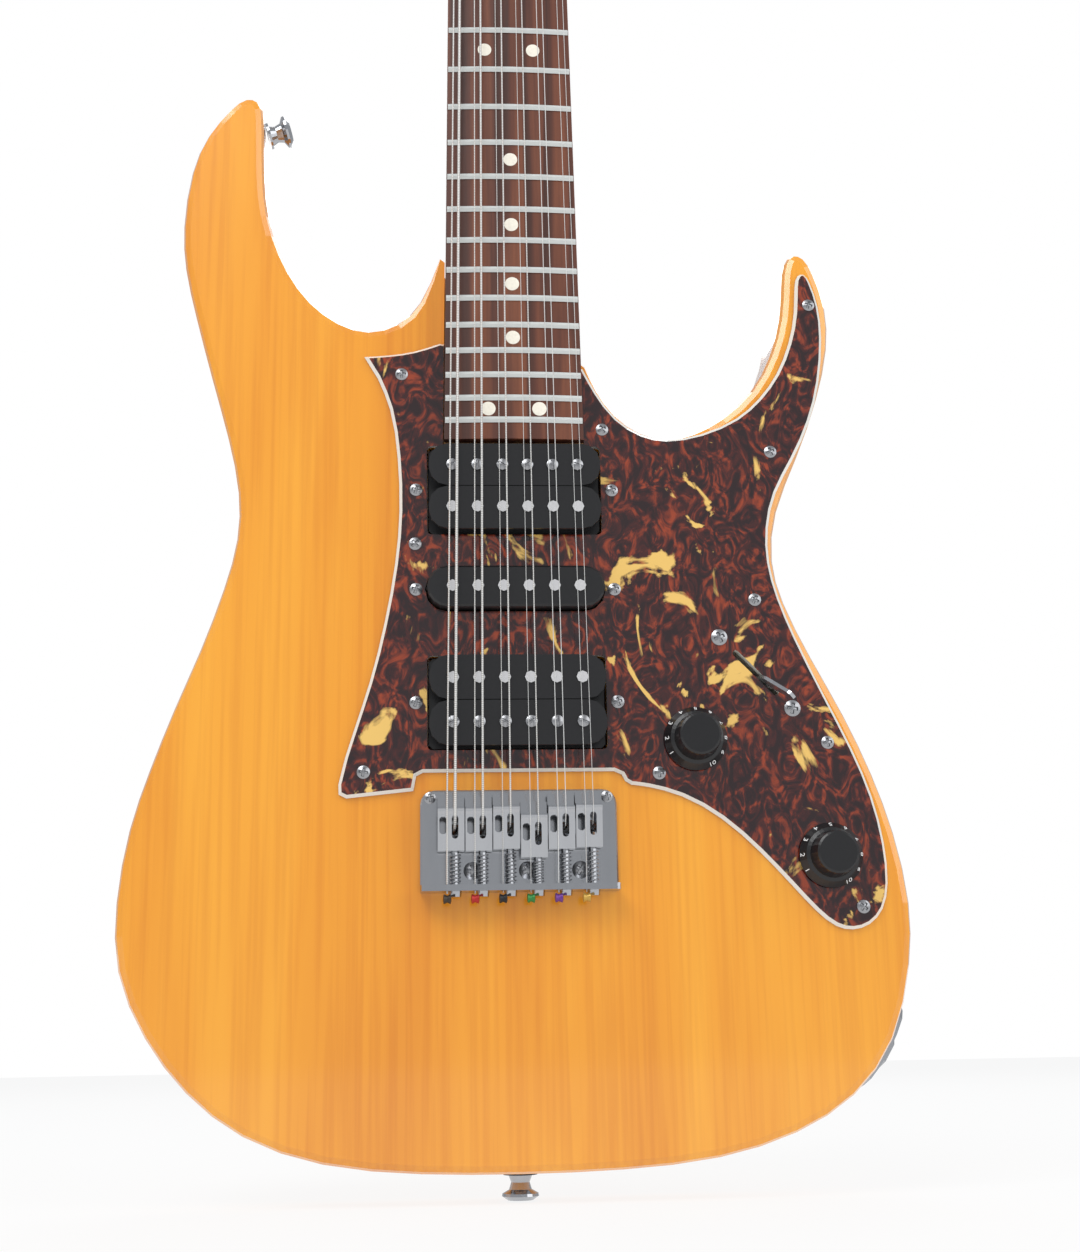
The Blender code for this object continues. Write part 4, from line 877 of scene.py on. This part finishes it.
@dataclass
class HeadFittings:
    """Bushings round the posts, screws on the tuner strips and the felt washer under the tail's button.

    Attributes:
        finishes: The object's materials.
        tilt: Backward lean of the headstock.
        face_from_middle: From the middle of a post's box forward to the headstock's face.
        posts: Number of tuner posts.
        bushing_profile: Radius and height of a bushing in millimetres.
        strip_head: Head of the strips' screws.
        strip_behind: From the headstock's face back to the strips' outer face.
        strip_ends: Name of each end screw and its way up the strip from the strip's lowest post.
        washer_profile: Radius and height of the felt washer in millimetres.
        washer_sides: Steps round the washer.
        washer_up: From the top of the strap button's box up to the washer's foot.
    """

    finishes: Finishes
    tilt: float = math.radians(12)
    face_from_middle: float = 1.9 * MM
    posts: int = 12
    bushing_profile: tuple[tuple[float, float], ...] = (
        (4.0, 0.05), (6.2, 0.05), (6.2, 0.8), (5.0, 1.8), (4.0, 1.8),
    )
    strip_head: ScrewHead = ScrewHead(2.2 * MM, 0.9 * MM, Recess.CROSS)
    strip_behind: float = 16.2 * MM
    strip_ends: tuple[tuple[str, float], ...] = (("lower", -14.2 * MM), ("upper", 137.5 * MM))
    washer_profile: tuple[tuple[float, float], ...] = (
        (3.8, 0.0), (6.5, 0.0), (6.7, 0.6), (6.5, 1.2), (3.8, 1.2),
    )
    washer_sides: int = 28
    washer_up: float = 0.2 * MM

    def build(self) -> None:
        """Makes the bushings, the strip screws and the washer."""
        out = Vector((0, -math.cos(self.tilt), math.sin(self.tilt)))
        along = Vector((0, math.sin(self.tilt), math.cos(self.tilt)))
        rim = self.ring(lathe(in_metres(self.bushing_profile)))
        for number in range(1, self.posts + 1):
            face = self.post_face(number, out)
            add_piece(f"post_bushing_{number}", rim, self.finishes.chrome, facing(*face, out))
        head = self.strip_head.mesh()
        for node, post in (("tuner_strip_bass", 1), ("tuner_strip_treble", self.posts)):
            seat = self.post_face(post, out) - out * self.strip_behind
            for end, way in self.strip_ends:
                place = facing(*(seat + along * way), -out)
                add_piece(f"{node}_screw_{end}", head, self.finishes.steel, place)
        self.tail_washer()

    def post_face(self, number: int, out: Vector) -> Vector:
        """Place where a post comes out of the headstock's face.

        Args:
            number: Number of the post.
            out: Direction out of the face.

        Returns:
            The place.
        """
        low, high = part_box(f"tuner_post_{number}")
        return (low + high) / 2 + out * self.face_from_middle

    def ring(self, mesh: bpy.types.Mesh) -> bpy.types.Mesh:
        """Opens a turned profile into a ring by joining its first and last circle.

        Args:
            mesh: Turned mesh whose first and last circle have one radius.

        Returns:
            The same mesh, now a ring.
        """
        shaper = bmesh.new()
        shaper.from_mesh(mesh)
        caps = [face for face in shaper.faces if len(face.verts) > 4]
        edges = [edge for cap in caps for edge in cap.edges]
        bmesh.ops.delete(shaper, geom=caps, context="FACES_ONLY")
        bmesh.ops.bridge_loops(shaper, edges=edges)
        bmesh.ops.recalc_face_normals(shaper, faces=shaper.faces)
        shaper.to_mesh(mesh)
        shaper.free()
        return mesh

    def tail_washer(self) -> None:
        """Black felt ring at the foot of the tail's strap button."""
        washer = self.ring(lathe(in_metres(self.washer_profile), self.washer_sides))
        low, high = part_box("strap_button_tail")
        place = facing((low.x + high.x) / 2, 0.0, high.z + self.washer_up, (0, 0, -1))
        add_piece("strap_washer_tail", washer, self.finishes.felt, place)


@dataclass
class Markings:
    """Position dots on the fretboard's face and numbers round the knobs.

    Attributes:
        finishes: The object's materials.
        single_frets: Frets with one dot.
        double_frets: Frets with two dots.
        double_apart: From the board's middle to each of two dots.
        dot_profile: Radius and height of a dot in millimetres.
        dot_sides: Steps round a dot.
        face_depth: Depth of the board's face behind the front of its box.
        last_number: Highest number on a knob.
        number_size: Size of the numbers.
        number_depth: Half the thickness of the numbers.
        number_radius: From the knob's axis to the numbers' middle.
        number_behind: From the front of the knob's box back to the numbers' middle.
        number_lift: How far the numbers stand off the skirt.
        zero_angle: Angle in degrees, anticlockwise from +X, of the place before the first number.
        angle_step: Degrees from one number to the next, clockwise.
        skirt_slope: Lean of the skirt's normal to the front: the skirt draws in 2.1 mm over 3.1 mm of depth.
    """

    finishes: Finishes
    single_frets: tuple[int, ...] = (3, 5, 7, 9, 15, 17, 19, 21)
    double_frets: tuple[int, ...] = (12, 24)
    double_apart: float = 10.6 * MM
    dot_profile: tuple[tuple[float, float], ...] = ((3.0, 0.0), (3.0, 0.12), (2.7, 0.16))
    dot_sides: int = 32
    face_depth: float = 1.1 * MM
    last_number: int = 10
    number_size: float = 3.3 * MM
    number_depth: float = 0.04 * MM
    number_radius: float = 11.75 * MM
    number_behind: float = 11.7 * MM
    number_lift: float = 0.18 * MM
    zero_angle: int = 240
    angle_step: int = 30
    skirt_slope: float = math.atan2(2.1, 3.1)

    def build(self) -> None:
        """Makes the dots and the numbers."""
        self.dots()
        for node in ("volume_knob", "tone_knob"):
            self.numbers(node)

    def dots(self) -> None:
        """Dots halfway between the frets."""
        board_low, board_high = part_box("fretboard")
        face = board_low.y + self.face_depth
        nut = board_high.z + NUT_GAP
        dot = lathe(in_metres(self.dot_profile), self.dot_sides)
        for fret in self.single_frets + self.double_frets:
            lines = [nut - SCALE_LENGTH * (1 - 2 ** (-count / 12)) for count in (fret - 1, fret)]
            offsets = (0.0,) if fret in self.single_frets else (-self.double_apart, self.double_apart)
            for index, x in enumerate(offsets):
                drop = x * x / (2 * BOARD_RADIUS)
                place = facing(x, face + drop, sum(lines) / 2)
                add_piece(f"position_dot_{fret}_{index + 1}", dot, self.finishes.pearl, place)

    def numbers(self, node: str) -> None:
        """Plain numbers on a knob's skirt.

        Args:
            node: The knob's node.
        """
        low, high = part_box(node)
        middle = Vector(((low.x + high.x) / 2, low.y + self.number_behind, (low.z + high.z) / 2))
        front = Vector(FRONT)
        for number in range(1, self.last_number + 1):
            angle = math.radians(self.zero_angle - self.angle_step * number)
            curve = bpy.data.curves.new(f"{node}_number", "FONT")
            curve.body = str(number)
            curve.size = self.number_size
            curve.extrude = self.number_depth
            curve.align_x = "CENTER"
            curve.align_y = "CENTER"
            piece = bpy.data.objects.new(f"{node}_number_{number}", curve)
            curve.materials.append(self.finishes.white)
            bpy.context.scene.collection.objects.link(piece)
            out = Vector((math.cos(angle), 0, math.sin(angle)))
            up = (front * math.cos(self.skirt_slope) - out * math.sin(self.skirt_slope)).normalized()
            normal = (out * math.cos(self.skirt_slope) + front * math.sin(self.skirt_slope)).normalized()
            basis = Matrix((up.cross(normal), up, normal)).transposed().to_4x4()
            place = middle + out * self.number_radius + normal * self.number_lift
            piece.matrix_world = Matrix.Translation(place) @ basis
            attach(piece, node)


@dataclass(frozen=True)
class Lamp:
    """Square area lamp.

    Attributes:
        name: Its name.
        place: Where it stands.
        size: Length of its side.
        power: Its power in watts.
    """

    name: str
    place: tuple[float, float, float]
    size: float
    power: float


@dataclass
class Setting:
    """Camera, floor, lights and world.

    Attributes:
        focal_pixels: Focal length in pixels of the photograph's frame.
        frame_height: Height of that frame in pixels.
        shift: Camera shift as a share of the frame's height.
        sensor: Height of the sensor in millimetres.
        nearest: Where the camera's view begins.
        camera_place: Where the camera stands.
        camera_angles: Its rotation in degrees.
        lamps: The lamps, which all aim at one place on the body.
        lamp_target: That place.
        floor_reach: Half the side of the floor.
        floor_gap: From the object's lowest point down to the floor.
        floor_colour: Colour of the floor's surface.
        floor_roughness: Roughness of the floor's surface.
        floor_glow: Share of a white glow that is mixed into the floor.
        sky_colour: Light of the world on everything but the camera's own view.
        sky_strength: Strength of that light.
    """

    focal_pixels: float = 1837.7
    frame_height: int = 1252
    shift: float = -0.0903
    sensor: float = 24.0
    nearest: float = 0.01
    camera_place: tuple[float, float, float] = (-0.0441, -0.7498, 0.0578)
    camera_angles: tuple[float, float, float] = (106.085, 1.028, -4.011)
    lamps: tuple[Lamp, ...] = (
        Lamp("key", (-0.9, -1.5, 1.9), 1.3, 27.0),
        Lamp("fill", (1.5, -1.3, 1.0), 1.5, 12.0),
        Lamp("back", (0.3, 1.4, 1.6), 1.2, 9.0),
    )
    lamp_target: tuple[float, float, float] = (0.0, 0.0, 0.25)
    floor_reach: float = 4.0
    floor_gap: float = 0.5 * MM
    floor_colour: Colour = (0.86, 0.86, 0.86, 1)
    floor_roughness: float = 0.9
    floor_glow: float = 0.86
    sky_colour: Colour = (0.95, 0.97, 1.0, 1)
    sky_strength: float = 0.55

    def build(self) -> None:
        """Makes the whole setting."""
        self.camera()
        self.floor()
        for lamp in self.lamps:
            self.light(lamp)
        self.world()

    def camera(self) -> None:
        """The photograph's viewpoint."""
        data = bpy.data.cameras.new("photo_camera")
        data.sensor_fit = "VERTICAL"
        data.sensor_height = self.sensor
        data.lens = self.focal_pixels * self.sensor / self.frame_height
        data.shift_y = self.shift
        data.clip_start = self.nearest
        camera = bpy.data.objects.new("photo_camera", data)
        camera.location = self.camera_place
        camera.rotation_euler = [math.radians(angle) for angle in self.camera_angles]
        bpy.context.scene.collection.objects.link(camera)
        bpy.context.scene.camera = camera
        bpy.context.scene.view_settings.view_transform = "Standard"

    def floor(self) -> None:
        """Plain pale floor with a white glow mixed into its surface."""
        mesh = bpy.data.meshes.new("floor")
        reach = self.floor_reach
        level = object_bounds()[0].z - self.floor_gap
        corners = ((-reach, -reach), (reach, -reach), (reach, reach), (-reach, reach))
        mesh.from_pydata([(x, y, level) for x, y in corners], [], [(0, 1, 2, 3)])
        floor = bpy.data.objects.new("floor", mesh)
        bpy.context.scene.collection.objects.link(floor)
        made = bpy.data.materials.new("pale_floor")
        made.use_nodes = True
        tree = made.node_tree
        nodes = Nodes(tree)
        shader = tree.nodes["Principled BSDF"]
        shader.inputs["Base Color"].default_value = self.floor_colour
        shader.inputs["Roughness"].default_value = self.floor_roughness
        glow = nodes.add("ShaderNodeEmission", {"Color": (1, 1, 1, 1), "Strength": 1.0})
        layers = {0: self.floor_glow, 1: shader.outputs[0], 2: glow.outputs[0]}
        blend = nodes.add("ShaderNodeMixShader", layers)
        tree.links.new(blend.outputs[0], tree.nodes["Material Output"].inputs[0])
        mesh.materials.append(made)
        floor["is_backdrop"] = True

    def light(self, lamp: Lamp) -> None:
        """Adds one lamp and aims it at the body.

        Args:
            lamp: The lamp.
        """
        data = bpy.data.lights.new(lamp.name, "AREA")
        data.size = lamp.size
        data.energy = lamp.power
        light = bpy.data.objects.new(lamp.name, data)
        light.location = lamp.place
        aim = Vector(self.lamp_target) - Vector(lamp.place)
        light.rotation_euler = aim.to_track_quat("-Z", "Y").to_euler()
        bpy.context.scene.collection.objects.link(light)

    def world(self) -> None:
        """White for the camera, softer for everything else."""
        made = bpy.data.worlds.new("studio")
        bpy.context.scene.world = made
        made.use_nodes = True
        tree = made.node_tree
        tree.nodes.clear()
        nodes = Nodes(tree)
        path = nodes.add("ShaderNodeLightPath")
        bright = nodes.add("ShaderNodeBackground", {"Color": (1, 1, 1, 1), "Strength": 1.0})
        soft = nodes.add("ShaderNodeBackground", {"Color": self.sky_colour, "Strength": self.sky_strength})
        layers = {0: path.outputs["Is Camera Ray"], 1: soft.outputs[0], 2: bright.outputs[0]}
        blend = nodes.add("ShaderNodeMixShader", layers)
        end = nodes.add("ShaderNodeOutputWorld")
        tree.links.new(blend.outputs[0], end.inputs[0])


def main() -> None:
    """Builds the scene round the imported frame."""
    logging.basicConfig(level=logging.INFO)
    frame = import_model()
    finishes = Finishes()
    dress_nodes(frame, finishes)
    fittings = (Fasteners(finishes), BridgeFittings(finishes), HeadFittings(finishes), Markings(finishes))
    for part in (*fittings, Setting()):
        part.build()
        LOG.info("%s ready", type(part).__name__)


if __name__ == "__main__":
    main()
